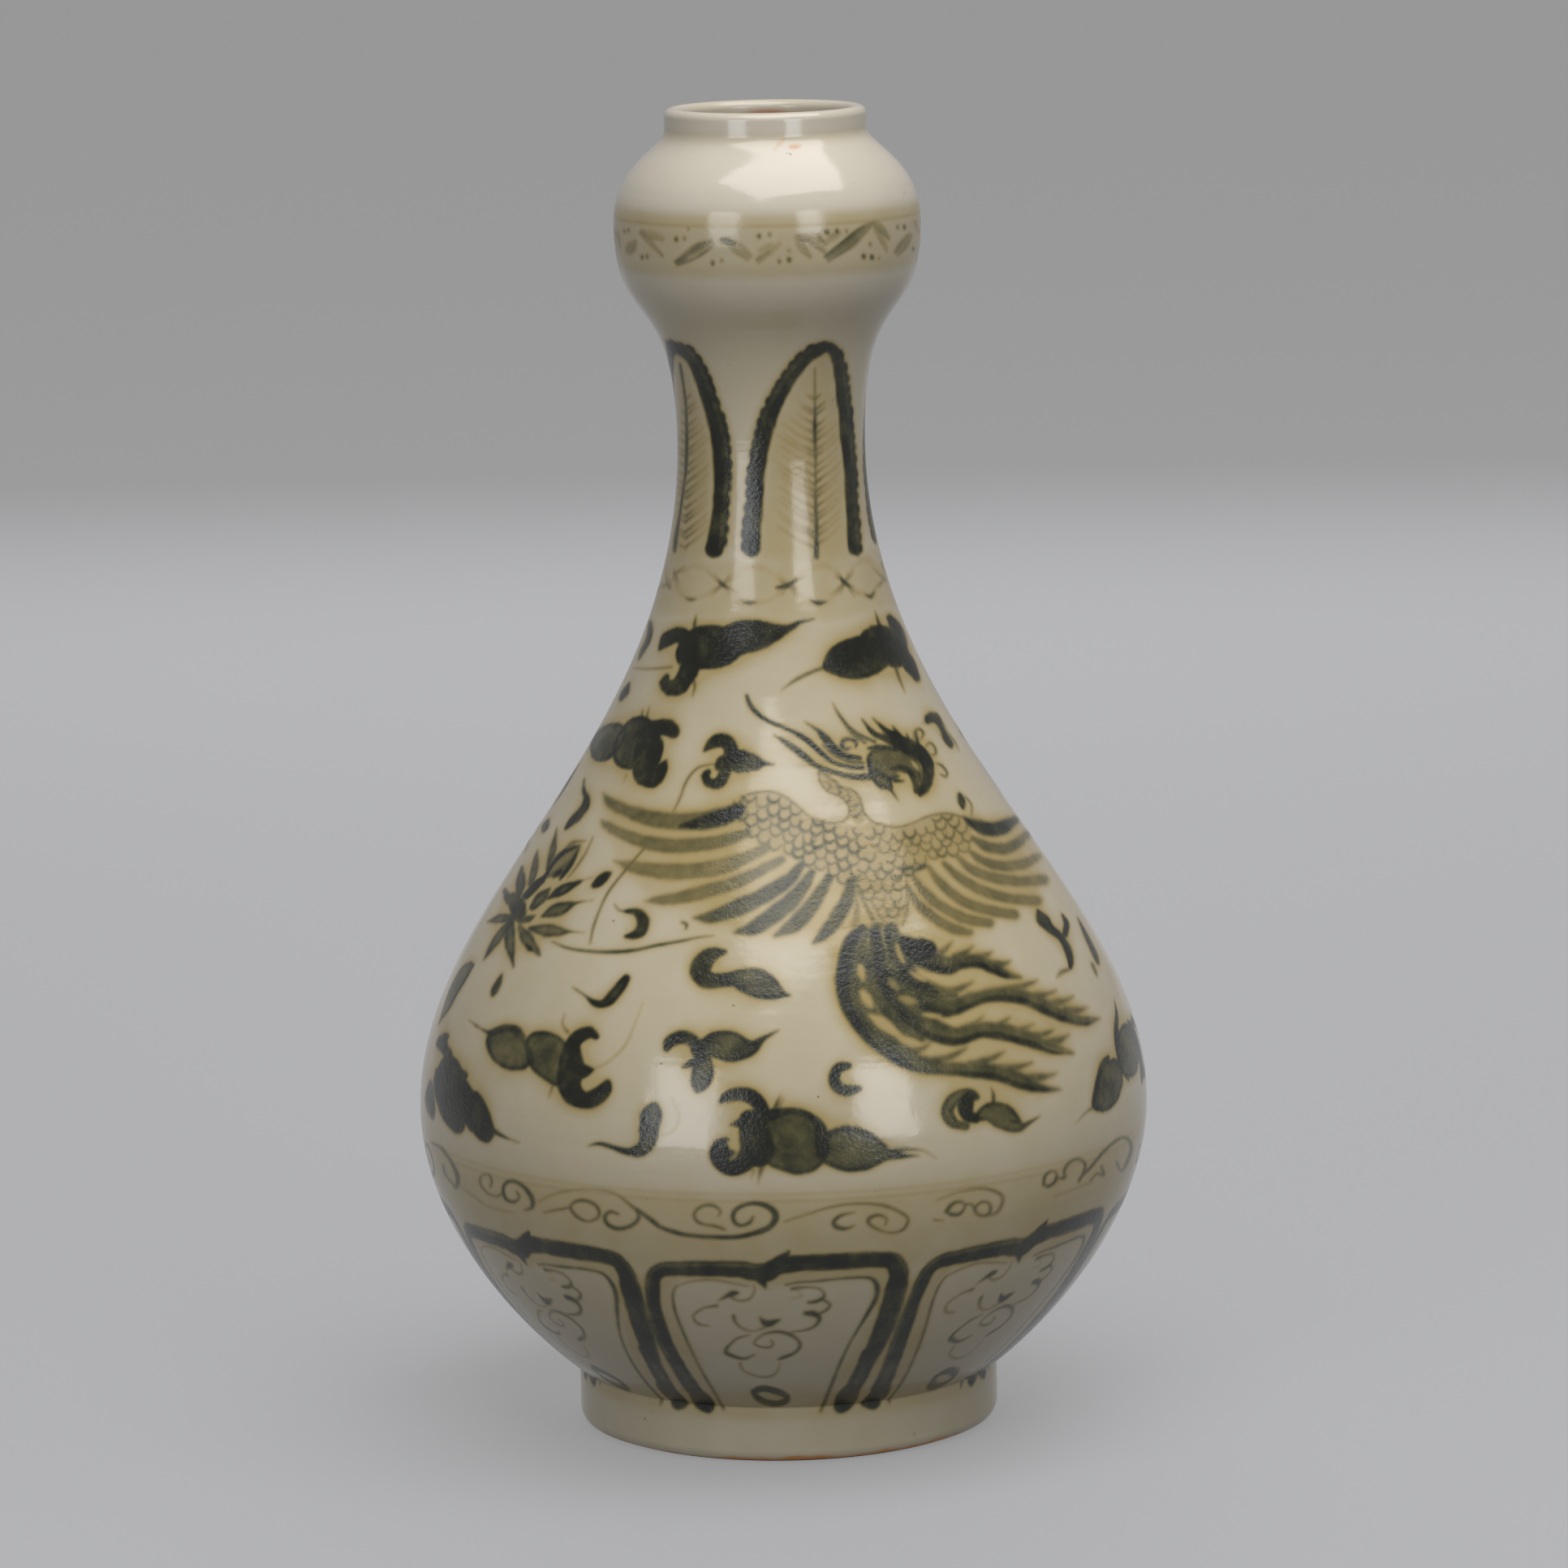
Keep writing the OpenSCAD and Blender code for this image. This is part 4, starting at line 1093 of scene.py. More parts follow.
# A net of waves: the lower arcs, the fainter upper arcs, and dark ticks where they meet
WAVES = [
    (0.27, [(831, 704, 4), (833, 720, 3), (843, 735, 4), (852, 738, 5), (870, 733, 2.5), (890, 721, 4)]),
    (0.27, [(891, 720, 4), (903, 731, 2.5), (914, 740, 4), (924, 743, 5), (945, 741, 2), (962, 730, 2.5),
        (971, 721, 4)]),
    (0.27, [(972, 720, 5), (984, 731, 3), (996, 739, 3.5), (1007, 743, 6), (1021, 740, 2.5),
        (1033, 729, 2.5), (1041, 718, 4)]),
    (0.27, [(1041, 717, 4), (1052, 727, 3), (1064, 732, 4), (1074, 735, 6), (1079, 725, 2.5),
        (1090, 713, 3)]),
    (0.21, [(833, 706, 3), (845, 700, 2), (860, 697, 5), (872, 703, 3), (882, 713, 2.5), (891, 720, 4)]),
    (0.19, [(891, 720, 4), (903, 709, 2), (915, 702, 2), (931, 698, 5), (945, 702, 3), (958, 711, 2),
        (971, 720, 4)]),
    (0.2, [(972, 720, 4), (986, 709, 3), (998, 702, 2), (1013, 696, 5), (1024, 701, 3), (1033, 710, 2.5),
        (1041, 717, 4)]),
    (0.22, [(1041, 717, 4), (1049, 704, 2), (1056, 696, 2), (1066, 689, 6), (1076, 696, 3.5),
        (1085, 706, 3), (1091, 716, 3)]),
    (0.56, [(884, 714, 2), (890, 720, 7), (898, 725, 2)]),
    (0.6, [(956, 724, 3), (971, 721, 8), (983, 713, 2)]),
    (0.56, [(1034, 710, 2), (1041, 718, 7), (1048, 724, 2)]),
    (0.54, [(844, 736, 2), (851, 739, 5), (858, 738, 2)]),
    (0.54, [(913, 740, 2), (923, 743, 6), (933, 742, 2)]),
    (0.58, [(998, 740, 2), (1008, 743, 7), (1019, 741, 2)]),
    (0.54, [(1065, 732, 2), (1073, 735, 6), (1078, 728, 2)]),
]
WAVE_ARCS = slice(0, 8)
WAVE_TICKS = slice(8, None)
WAVE_WIDEN = 1.6
WAVE_EDGE = 6.0
WAVE_FAINT = 0.62
WAVE_TURNS = (0, 144, 216)
# Wisps at the ends of the waves: tone, hairs to an end, degrees between them, length and softness
WISP_TONE = 0.44
WISP_HAIRS = 3
WISP_FAN = 13.0
WISP_REACH = 20.0
WISP_EDGE = 3.4
# Width of a wisp in photo pixels, its share of that half way along, and its width at the tip
WISP_WIDTH = 3.2
WISP_HALF = 0.8
WISP_TIP = 0.8

# Leaf sprays of the bulb's band, painted with a nearly dry brush
BULB_MARKS = [
    (0.52, [(774, 313, 6), (777, 305, 12), (783, 296, 3)]),
    (0.6, [(789, 285, 5), (801, 299, 5), (817, 316, 2)]),
    (0.42, [(790, 286, 3), (804, 290, 8), (818, 295, 4)]),
    (0.46, [(834, 324, 7), (848, 316, 12), (862, 307, 14), (878, 299, 8)]),
    (0.74, [(832, 324, 6), (839, 321, 8), (846, 317, 4)]),
    (0.44, [(896, 299, 6), (908, 305, 13), (924, 318, 8)]),
    (0.8, [(888, 295, 4), (896, 298, 8), (906, 301, 4)]),
    (0.55, [(933, 322, 7), (941, 316, 6), (949, 310, 4)]),
    (0.4, [(941, 316, 5), (951, 308, 7), (962, 299, 3)]),
    (0.36, [(935, 309, 3), (943, 304, 5), (951, 300, 2)]),
    (0.52, [(981, 290, 5), (988, 305, 8), (999, 318, 3)]),
    (0.56, [(985, 291, 4), (1003, 299, 7), (1018, 312, 3)]),
    (0.62, [(1007, 291, 4), (1013, 297, 4), (1018, 302, 2)]),
    (0.72, [(1018, 319, 8), (1041, 303, 11), (1060, 286, 9), (1077, 274, 4)]),
    (0.48, [(1026, 315, 5), (1050, 301, 8), (1068, 284, 4)]),
    (0.42, [(1019, 299, 5), (1028, 292, 8), (1037, 286, 3)]),
    (0.66, [(1076, 273, 5), (1086, 282, 7), (1096, 295, 2)]),
    (0.42, [(1078, 280, 4), (1088, 297, 6), (1093, 310, 2)]),
    (0.58, [(1104, 313, 7), (1114, 301, 10), (1122, 288, 4)]),
    (0.45, [(1127, 272, 4), (1132, 288, 2)]),
]
BULB_HAIRS = 5
BULB_PALE = 0.86
BULB_WIDEN = 1.25
HAIR_THINNEST = 1.2
HAIR_EDGE = 3.4
DOT_PALE = 0.78
DOT_SHARE = 0.86
DOT_EDGE = 4.2
# Half the length of a dot and its lean, in photo pixels
DOT_HALF = 1.0
DOT_LEAN = 0.5
# Sprays and dots that are repeated at the sides, and where
SIDE_SPRAYS = slice(7, 13)
SIDE_DOTS = slice(9, 14)
SIDE_SPRAY_TURNS = (86, 266)
# Dots between the sprays: (x, y, width, tone)
BULB_DOTS = [
    (769, 285, 4, 0.6), (774, 284, 4, 0.6), (791, 317, 5, 0.68), (797, 316, 5, 0.62),
    (833, 295, 6, 0.72), (843, 294, 4, 0.55), (848, 282, 3, 0.7), (878, 324, 6, 0.7), (889, 321, 4, 0.6),
    (935, 291, 6, 0.68), (948, 289, 5, 0.6), (960, 322, 5, 0.66), (972, 320, 7, 0.66),
    (972, 309, 4, 0.5), (1019, 286, 6, 0.74), (1031, 285, 6, 0.68), (1043, 285, 4, 0.6),
    (1064, 316, 7, 0.72), (1074, 317, 7, 0.72), (1083, 318, 3, 0.5), (1072, 301, 5, 0.5),
    (1106, 280, 4, 0.62), (1114, 280, 5, 0.8), (1125, 307, 5, 0.6),
]


def hairs(strokes, count):
    """A dry brush: each stroke split into hairs of uneven tone, side by side."""
    split = []
    for number, (tone, points) in enumerate(strokes):
        p = np.array(points, float)
        run = unit(np.gradient(p[:, :2], axis=0))
        side = np.stack([-run[:, 1], run[:, 0]], axis=1)
        for k in range(count):
            place = p[:, :2] + side * p[:, 2:] * ((k + 0.5) / count - 0.5)
            width = np.maximum(p[:, 2:] / count * unevenly(number + 7 * k), HAIR_THINNEST)
            split.append((tone * unevenly(3 * number + k), np.hstack([place, width]).tolist()))
    return split


def wave_wisps():
    """Dry brush ends of the arcs, which fan out from where they meet."""
    wisps = []
    for number, (tone, points) in enumerate(WAVES[WAVE_ARCS]):
        for (x, y, w), (next_x, next_y, next_w) in (points[:2], points[:-3:-1]):
            along = math.atan2(next_y - y, next_x - x)
            for k in range(WISP_HAIRS):
                heading = along + math.radians(WISP_FAN * (k - (WISP_HAIRS - 1) / 2))
                reach = WISP_REACH * unevenly(3 * number + 5 * k + x, least=0.5, spread=0.7)
                dx = reach * math.cos(heading)
                dy = reach * math.sin(heading)
                hair = [(x, y, WISP_WIDTH), (x + dx / 2, y + dy / 2, WISP_HALF * WISP_WIDTH),
                        (x + dx, y + dy, WISP_TIP)]
                wisps.append((WISP_TONE * unevenly(number + 7 * k + y), hair))
    return wisps


def paint_waves():
    arcs = toned(widened(WAVES[WAVE_ARCS], WAVE_WIDEN), WAVE_FAINT)
    paint_strokes(arcs, WAVE_TURNS, edge=WAVE_EDGE)
    paint_strokes(wave_wisps(), WAVE_TURNS, edge=WISP_EDGE, pool=0.0)
    paint_strokes(WAVES[WAVE_TICKS], WAVE_TURNS)


def paint_sprays(marks, dots, turns):
    dry = toned(hairs(widened(marks, BULB_WIDEN), BULB_HAIRS), BULB_PALE)
    paint_strokes(dry, turns, edge=HAIR_EDGE)
    for x, y, width, tone in dots:
        wide = width * DOT_SHARE
        dab = [(x, y - DOT_HALF, wide), (x + DOT_LEAN, y + DOT_HALF, wide)]
        paint_strokes([(tone * DOT_PALE, dab)], turns, edge=DOT_EDGE)


def paint_bulb():
    paint_sprays(BULB_MARKS, BULB_DOTS, FRONT_AND_BACK)
    paint_sprays(BULB_MARKS[SIDE_SPRAYS], BULB_DOTS[SIDE_DOTS], SIDE_SPRAY_TURNS)


SCROLLS = [
    (0.5, [(532, 1408, 3), (543, 1414, 4), (555, 1430, 4), (564, 1450, 5), (562, 1463, 4),
        (558, 1459, 3), (549, 1447, 3), (546, 1436, 3)]),
    (0.45, [(604, 1462, 3), (606, 1455, 3), (602, 1447, 3), (593, 1449, 3), (592, 1459, 3),
        (602, 1471, 3), (614, 1474, 3), (620, 1468, 3)]),
    (0.55, [(637, 1469, 3), (640, 1475, 3), (634, 1481, 4), (624, 1478, 4), (620, 1468, 4),
        (622, 1459, 4), (632, 1455, 5), (646, 1463, 5), (656, 1478, 6), (655, 1488, 5), (646, 1491, 2)]),
    (0.3, [(567, 1462, 2), (584, 1474, 3), (600, 1486, 3), (617, 1491, 3), (634, 1494, 2)]),
    (0.4, [(664, 1480, 2), (684, 1471, 2), (711, 1466, 2), (737, 1466, 2), (760, 1472, 3),
        (778, 1486, 4), (785, 1491, 4)]),
    (0.5, [(670, 1494, 2), (684, 1491, 3), (700, 1488, 3), (708, 1481, 4), (719, 1479, 4),
        (731, 1483, 4), (738, 1491, 4), (737, 1500, 4), (725, 1505, 3), (712, 1500, 4), (704, 1491, 4),
        (703, 1486, 3)]),
    (0.55, [(762, 1496, 3), (752, 1493, 4), (745, 1499, 5), (749, 1509, 5), (763, 1514, 5),
        (778, 1510, 5), (787, 1501, 5), (784, 1491, 4), (775, 1483, 3)]),
    (0.6, [(785, 1490, 4), (802, 1503, 6), (816, 1513, 5), (843, 1521, 5), (872, 1524, 5),
        (907, 1524, 5), (931, 1519, 6), (948, 1512, 7), (956, 1500, 8), (951, 1490, 7), (939, 1484, 6),
        (925, 1483, 5), (910, 1488, 5), (903, 1497, 5), (906, 1507, 5), (914, 1510, 4), (924, 1506, 4),
        (928, 1499, 3)]),
    (0.5, [(885, 1499, 2), (888, 1493, 3), (881, 1486, 4), (869, 1485, 4), (859, 1490, 4),
        (855, 1497, 4), (859, 1505, 4), (869, 1509, 3), (882, 1511, 4), (893, 1515, 3)]),
    (0.45, [(967, 1505, 2), (995, 1496, 2), (1025, 1487, 3), (1056, 1483, 3), (1087, 1485, 4),
        (1108, 1493, 4), (1119, 1502, 4), (1114, 1514, 4), (1102, 1519, 3), (1087, 1517, 3),
        (1072, 1509, 4), (1070, 1502, 5), (1082, 1497, 4), (1093, 1502, 3), (1090, 1510, 2)]),
    (0.5, [(1053, 1494, 2), (1038, 1497, 4), (1028, 1504, 5), (1029, 1511, 6), (1041, 1514, 5),
        (1053, 1510, 2)]),
    (0.55, [(1166, 1493, 5), (1170, 1487, 5), (1176, 1482, 4), (1185, 1481, 3), (1189, 1487, 3),
        (1182, 1496, 4), (1171, 1496, 5), (1166, 1492, 3)]),
    (0.5, [(1189, 1484, 3), (1198, 1484, 3), (1201, 1491, 4), (1206, 1497, 4), (1217, 1497, 4),
        (1221, 1488, 4), (1216, 1481, 3), (1207, 1482, 3), (1202, 1488, 3)]),
    (0.4, [(1154, 1479, 2), (1178, 1470, 2), (1203, 1465, 3), (1221, 1466, 4), (1234, 1473, 5),
        (1235, 1482, 5), (1228, 1494, 4), (1217, 1498, 3)]),
    (0.35, [(1151, 1503, 3), (1163, 1504, 2)]),
    (0.5, [(1286, 1460, 4), (1287, 1450, 4), (1295, 1443, 3), (1302, 1446, 3), (1300, 1456, 4),
        (1291, 1462, 4), (1287, 1459, 3)]),
    (0.5, [(1300, 1452, 3), (1312, 1451, 4), (1311, 1443, 4), (1318, 1432, 4), (1329, 1428, 4),
        (1337, 1434, 4), (1335, 1445, 4), (1329, 1456, 3)]),
    (0.5, [(1330, 1452, 3), (1344, 1438, 4), (1360, 1419, 4), (1376, 1405, 4), (1387, 1402, 4),
        (1394, 1411, 4), (1391, 1427, 4), (1382, 1443, 3), (1376, 1432, 3)]),
    (0.45, [(1343, 1455, 2), (1352, 1446, 3), (1360, 1448, 4), (1357, 1437, 3)]),
    (0.3, [(1300, 1474, 2), (1326, 1464, 3), (1346, 1456, 2)]),
]
SCROLL_WIDEN = 1.18
# The double scroll that is repeated at the sides, and where
SIDE_SCROLL = slice(6, 9)
SIDE_SCROLL_TURNS = (106.5, 286.5)
# The lappet's frame: a pale wash, the dark stroke on it, and the dark ends of its two legs
PANEL_WASH = [
    (0.6, [(868, 1728, 16), (845, 1700, 17), (829, 1672, 18), (815, 1644, 18), (806, 1612, 18),
        (803, 1584, 18), (806, 1569, 16), (822, 1563, 17), (872, 1562, 18), (912, 1563, 19),
        (942, 1566, 20), (962, 1558, 20), (1020, 1555, 21), (1090, 1552, 21), (1106, 1556, 20),
        (1110, 1574, 20), (1100, 1612, 22), (1088, 1642, 21), (1072, 1672, 19), (1056, 1700, 18),
        (1042, 1724, 18)]),
]
PANEL_OUTLINE = [
    (0.93, [(834, 1680, 10), (818, 1645, 14), (808, 1612, 14), (806, 1586, 14), (811, 1570, 13),
        (832, 1566, 13), (872, 1566, 14), (909, 1567, 14), (933, 1570, 18), (946, 1568, 22),
        (962, 1560, 20), (995, 1557, 17), (1025, 1555, 17), (1056, 1554, 17), (1086, 1553, 18),
        (1100, 1557, 19), (1106, 1572, 20), (1101, 1592, 23), (1096, 1612, 22), (1085, 1642, 21),
        (1072, 1668, 16), (1066, 1680, 10)]),
    (0.74, [(868, 1728, 15), (846, 1700, 17), (830, 1672, 15)]),
    (0.76, [(1042, 1724, 15), (1057, 1700, 19), (1070, 1670, 19)]),
    (0.95, [(856, 1716, 15), (865, 1726, 22), (873, 1733, 16)]),
    (0.95, [(1050, 1712, 19), (1042, 1724, 25), (1036, 1733, 18)]),
    (0.93, [(932, 1570, 14), (940, 1580, 10), (943, 1587, 3)]),
    (0.93, [(958, 1555, 14), (968, 1547, 8), (972, 1542, 3)]),
]
PANEL_LINE = [
    (0.58, [(892, 1736, 4), (880, 1715, 4), (865, 1690, 3.5), (850, 1660, 3.5), (837, 1630, 4),
        (831, 1612, 4), (829, 1595, 3.5), (833, 1585, 3)]),
    (0.45, [(833, 1585, 2.5), (852, 1579, 2.5), (877, 1577, 2.5), (902, 1581, 2.5), (922, 1585, 2)]),
    (0.6, [(968, 1583, 3), (985, 1580, 3), (1002, 1579, 3.5), (1040, 1575, 3.5), (1065, 1574, 4),
        (1076, 1577, 6), (1081, 1587, 7.5), (1079, 1600, 7), (1071, 1615, 5.5), (1062, 1630, 4.5),
        (1047, 1655, 4), (1035, 1680, 4.5), (1025, 1705, 5), (1015, 1730, 5.5), (1011, 1739, 4)]),
]
PANEL_SCROLL = [
    (0.55, [(885, 1603, 2), (893, 1598, 4), (902, 1594, 8), (909, 1593, 4)]),
    (0.45, [(901, 1599, 3), (912, 1603, 3), (924, 1600, 3), (930, 1590, 3), (928, 1584, 2)]),
    (0.5, [(883, 1609, 5), (869, 1611, 3), (858, 1617, 3), (854, 1623, 3), (860, 1631, 3),
        (873, 1634, 2)]),
    (0.5, [(904, 1622, 6), (906, 1629, 4), (915, 1637, 3), (930, 1640, 2), (945, 1634, 3)]),
    (0.65, [(936, 1623, 3), (945, 1631, 10), (961, 1626, 3)]),
    (0.55, [(976, 1588, 5), (995, 1586, 3), (1010, 1588, 3), (1016, 1596, 4), (1008, 1603, 5),
        (996, 1605, 4)]),
    (0.25, [(982, 1589, 3), (988, 1597, 3), (976, 1600, 2)]),
    (0.55, [(1014, 1601, 4), (1023, 1608, 4), (1017, 1615, 4), (1008, 1619, 3)]),
    (0.6, [(992, 1618, 6), (1004, 1619, 8), (1010, 1625, 6), (1004, 1634, 4), (992, 1639, 3),
        (976, 1641, 2)]),
    (0.55, [(923, 1645, 2), (909, 1649, 3), (898, 1658, 4), (894, 1666, 6), (906, 1672, 5),
        (918, 1674, 4), (930, 1669, 2)]),
    (0.55, [(950, 1652, 3), (953, 1656, 3), (949, 1660, 3), (939, 1660, 3), (929, 1655, 3),
        (939, 1645, 3), (955, 1641, 4), (970, 1643, 5), (981, 1649, 5), (986, 1658, 5), (979, 1667, 4),
        (967, 1672, 5), (959, 1675, 3)]),
    (0.42, [(912, 1680, 4), (915, 1688, 3), (927, 1694, 3), (940, 1697, 3), (952, 1695, 3),
        (959, 1688, 3), (961, 1680, 2)]),
]
PANEL_RING = [
    (0.85, [(928, 1715, 7), (938, 1711, 8), (952, 1713, 8), (966, 1718, 8), (970, 1724, 8),
        (962, 1729, 8), (947, 1729, 8), (934, 1723, 8), (928, 1715, 7)]),
]
# The stained strip between the lappet's frame and its inner line
PANEL_GAP = [
    (872, 1736), (846, 1697), (827, 1659), (813, 1626), (806, 1600), (803, 1583), (812, 1568),
    (835, 1563), (909, 1562), (950, 1566), (995, 1558), (1056, 1555), (1100, 1556), (1109, 1570),
    (1106, 1592), (1098, 1620), (1083, 1654), (1065, 1690), (1038, 1736), (1013, 1738), (1022, 1709),
    (1034, 1684), (1050, 1657), (1068, 1629), (1079, 1602), (1079, 1584), (1071, 1576), (1025, 1578),
    (970, 1582), (945, 1590), (915, 1582), (841, 1576), (829, 1589), (828, 1605), (838, 1629),
    (854, 1660), (872, 1694), (892, 1736),
]
GAP_TINT = 0.8
GAP_EDGE = 8.0
# Eight lappets, spaced as on the real vase
PANEL_TURNS = (-45.6, 0, 45.9, 90.6, 135.3, 180.0, 224.7, 269.5)


def paint_lower_bands():
    paint_fill(PANEL_GAP, GAP_TINT, PANEL_TURNS, tint, GAP_EDGE)
    scrolls = widened(SCROLLS, SCROLL_WIDEN)
    paint_strokes(scrolls, FRONT_AND_BACK)
    paint_strokes(scrolls[SIDE_SCROLL], SIDE_SCROLL_TURNS)
    for strokes in (PANEL_LINE, PANEL_SCROLL, PANEL_RING, PANEL_WASH, PANEL_OUTLINE):
        paint_strokes(strokes, PANEL_TURNS)


# Brushwork: yellow stain in the glaze, in bands and around the ink, and painted shade on the lowest belly
# laid as stain

# Each band is (lowest height, highest height, softness, strength), the first three in millimetres
STAIN_AND_SHADE_BANDS = [
    (-5.0, 13.0, 2.0, 0.3),
    (10.0, 15.0, 3.0, 0.75),
    # The next two bands, from 14 mm up, are painted shade: they darken the lowest belly next to the foot as
    # stain
    (14.0, 23.0, 6.0, 0.55),
    (14.0, 50.0, 6.0, 0.3),
    (50.0, 74.0, 9.0, 0.74),
    (62.0, 194.0, 14.0, 0.3),
    (193.0, 208.0, 3.0, 0.6),
    (208.0, 266.0, 8.0, 0.26),
    (273.6, 276.2, 1.0, 0.62),
    (275.0, 286.0, 1.0, 0.52),
    (285.2, 288.0, 0.8, 0.68),
    (303.4, 305.2, 1.2, 0.35),
]
# How far the stain runs in the glaze, in millimetres
STAIN_SPREAD = 0.8
# Thin rings of ink: height and half width in millimetres, and tone
LINE_BANDS = [(285.4, 0.3, 0.3), (70.6, 0.3, 0.22), (72.2, 0.3, 0.16)]
# Yellow halo round the ink, as two rings of spread in millimetres and strength
HALO_PARTS = [(0.9, 0.6), (2.2, 1.35)]
# On the belly a wider one too, between these heights and fading over that height, in millimetres
WIDE_HALO_SPREAD = 6.5
WIDE_HALO_STRENGTH = 1.2
WIDE_HALO_LOW = 80.0
WIDE_HALO_HIGH = 200.0
WIDE_HALO_FADE = 8.0
# Rust: marks at the foot of the collar, and the lowest edge of the glaze with its height in millimetres
RUST_MARKS = [
    (0.3, [(955, 184, 4), (960, 177, 6), (966, 172, 4)]),
    (0.5, [(974, 181, 4), (980, 181, 6), (986, 180, 3)]),
]
RUST_MARK_EDGE = 5.0
RUST_EDGE = 1.55
RUST_SOFT = 0.5
# Waves of that edge round the foot: how many, how high in millimetres, and where they start
RUST_WAVES = [(3, 0.35, 0.6), (7, 0.25, 2.0), (17, 0.2, 0.0), (41, 0.12, 1.0)]
# How far the ink runs into the glaze, in millimetres
INK_BLEED = 0.24
# A blur reaches this many times its spread
BLUR_REACH = 3


def paint_bands():
    for low, high, soft, strength in STAIN_AND_SHADE_BANDS:
        rise = np.clip((ROW_Z - low) / soft + 0.5, 0, 1)
        fall = np.clip((high - ROW_Z) / soft + 0.5, 0, 1)
        np.maximum(tint, (rise * fall * strength)[:, None], out=tint)
    for height, half, tone in LINE_BANDS:
        line = np.exp(-((ROW_Z - height) / half) ** 2) * tone
        np.maximum(ink, line[:, None], out=ink)


def paint_rust():
    paint_strokes(RUST_MARKS, (0,), rust, RUST_MARK_EDGE)
    azimuth = np.arange(CANVAS_COLS) * COL_STEP
    top = RUST_EDGE + sum(high * np.sin(count * azimuth + start) for count, high, start in RUST_WAVES)
    np.maximum(rust, np.clip((top - ROW_Z[:, None]) / RUST_SOFT, 0, 1), out=rust)


def blur(layer, spread):
    """Gaussian blur on the vase: round it by its own radius in each row, and along its outline."""
    waves = np.fft.rfftfreq(CANVAS_COLS, d=1.0 / CANVAS_COLS)
    fading = np.exp(-0.5 * (waves[None, :] * spread / ROW_R[:, None]) ** 2)
    soft = np.fft.irfft(np.fft.rfft(layer, axis=1) * fading, n=CANVAS_COLS, axis=1)
    reach = int(BLUR_REACH * spread / CANVAS_ROW_MM)
    steps = np.arange(-reach, reach + 1) * CANVAS_ROW_MM
    weights = np.exp(-0.5 * (steps / spread) ** 2)
    weights /= weights.sum()
    padded = np.pad(soft, ((reach, reach), (0, 0)), mode="edge")
    result = np.zeros_like(soft)
    for k, weight in enumerate(weights):
        result += weight * padded[k:k + len(soft)]
    return result


def paint_all():
    """The three finished layers: ink, stain with the painted shade of the lowest belly, and rust."""
    paint_belly()
    paint_neck()
    paint_waves()
    paint_bulb()
    paint_lower_bands()
    paint_bands()
    paint_rust()
    halo = sum(gain * blur(ink, spread) for spread, gain in HALO_PARTS)
    within = np.minimum(ROW_Z - WIDE_HALO_LOW, WIDE_HALO_HIGH - ROW_Z)
    on_belly = np.clip(within / WIDE_HALO_FADE, 0, 1)[:, None]
    halo += on_belly * WIDE_HALO_STRENGTH * blur(ink, WIDE_HALO_SPREAD)
    # Stain, with the painted shade bands of the lowest belly among it
    stain = np.clip(np.maximum(blur(tint, STAIN_SPREAD), halo), 0, 1)
    return blur(ink, INK_BLEED), stain, rust


def sample(layer, s, azimuth):
    """Values of a canvas layer on a grid of outline lengths and azimuths."""
    row = np.clip(s / CANVAS_ROW_MM, 0, LAST_ROW)
    return between(layer, row, azimuth / COL_STEP % CANVAS_COLS)


# Materials

# Sockets of a colour Mix node, which has several of each name
MIX_FACTOR = 0
MIX_A = 6
MIX_B = 7
MIX_RESULT = 2


def srgb(red, green, blue):
    """Linear colour from 0-255 values as seen on a screen."""
    out = []
    for value in (red, green, blue):
        v = value / 255
        out.append(v / 12.92 if v <= 0.04045 else ((v + 0.055) / 1.055) ** 2.4)
    return (*out, 1.0)


def grey(value):
    return (value, value, value, 1.0)


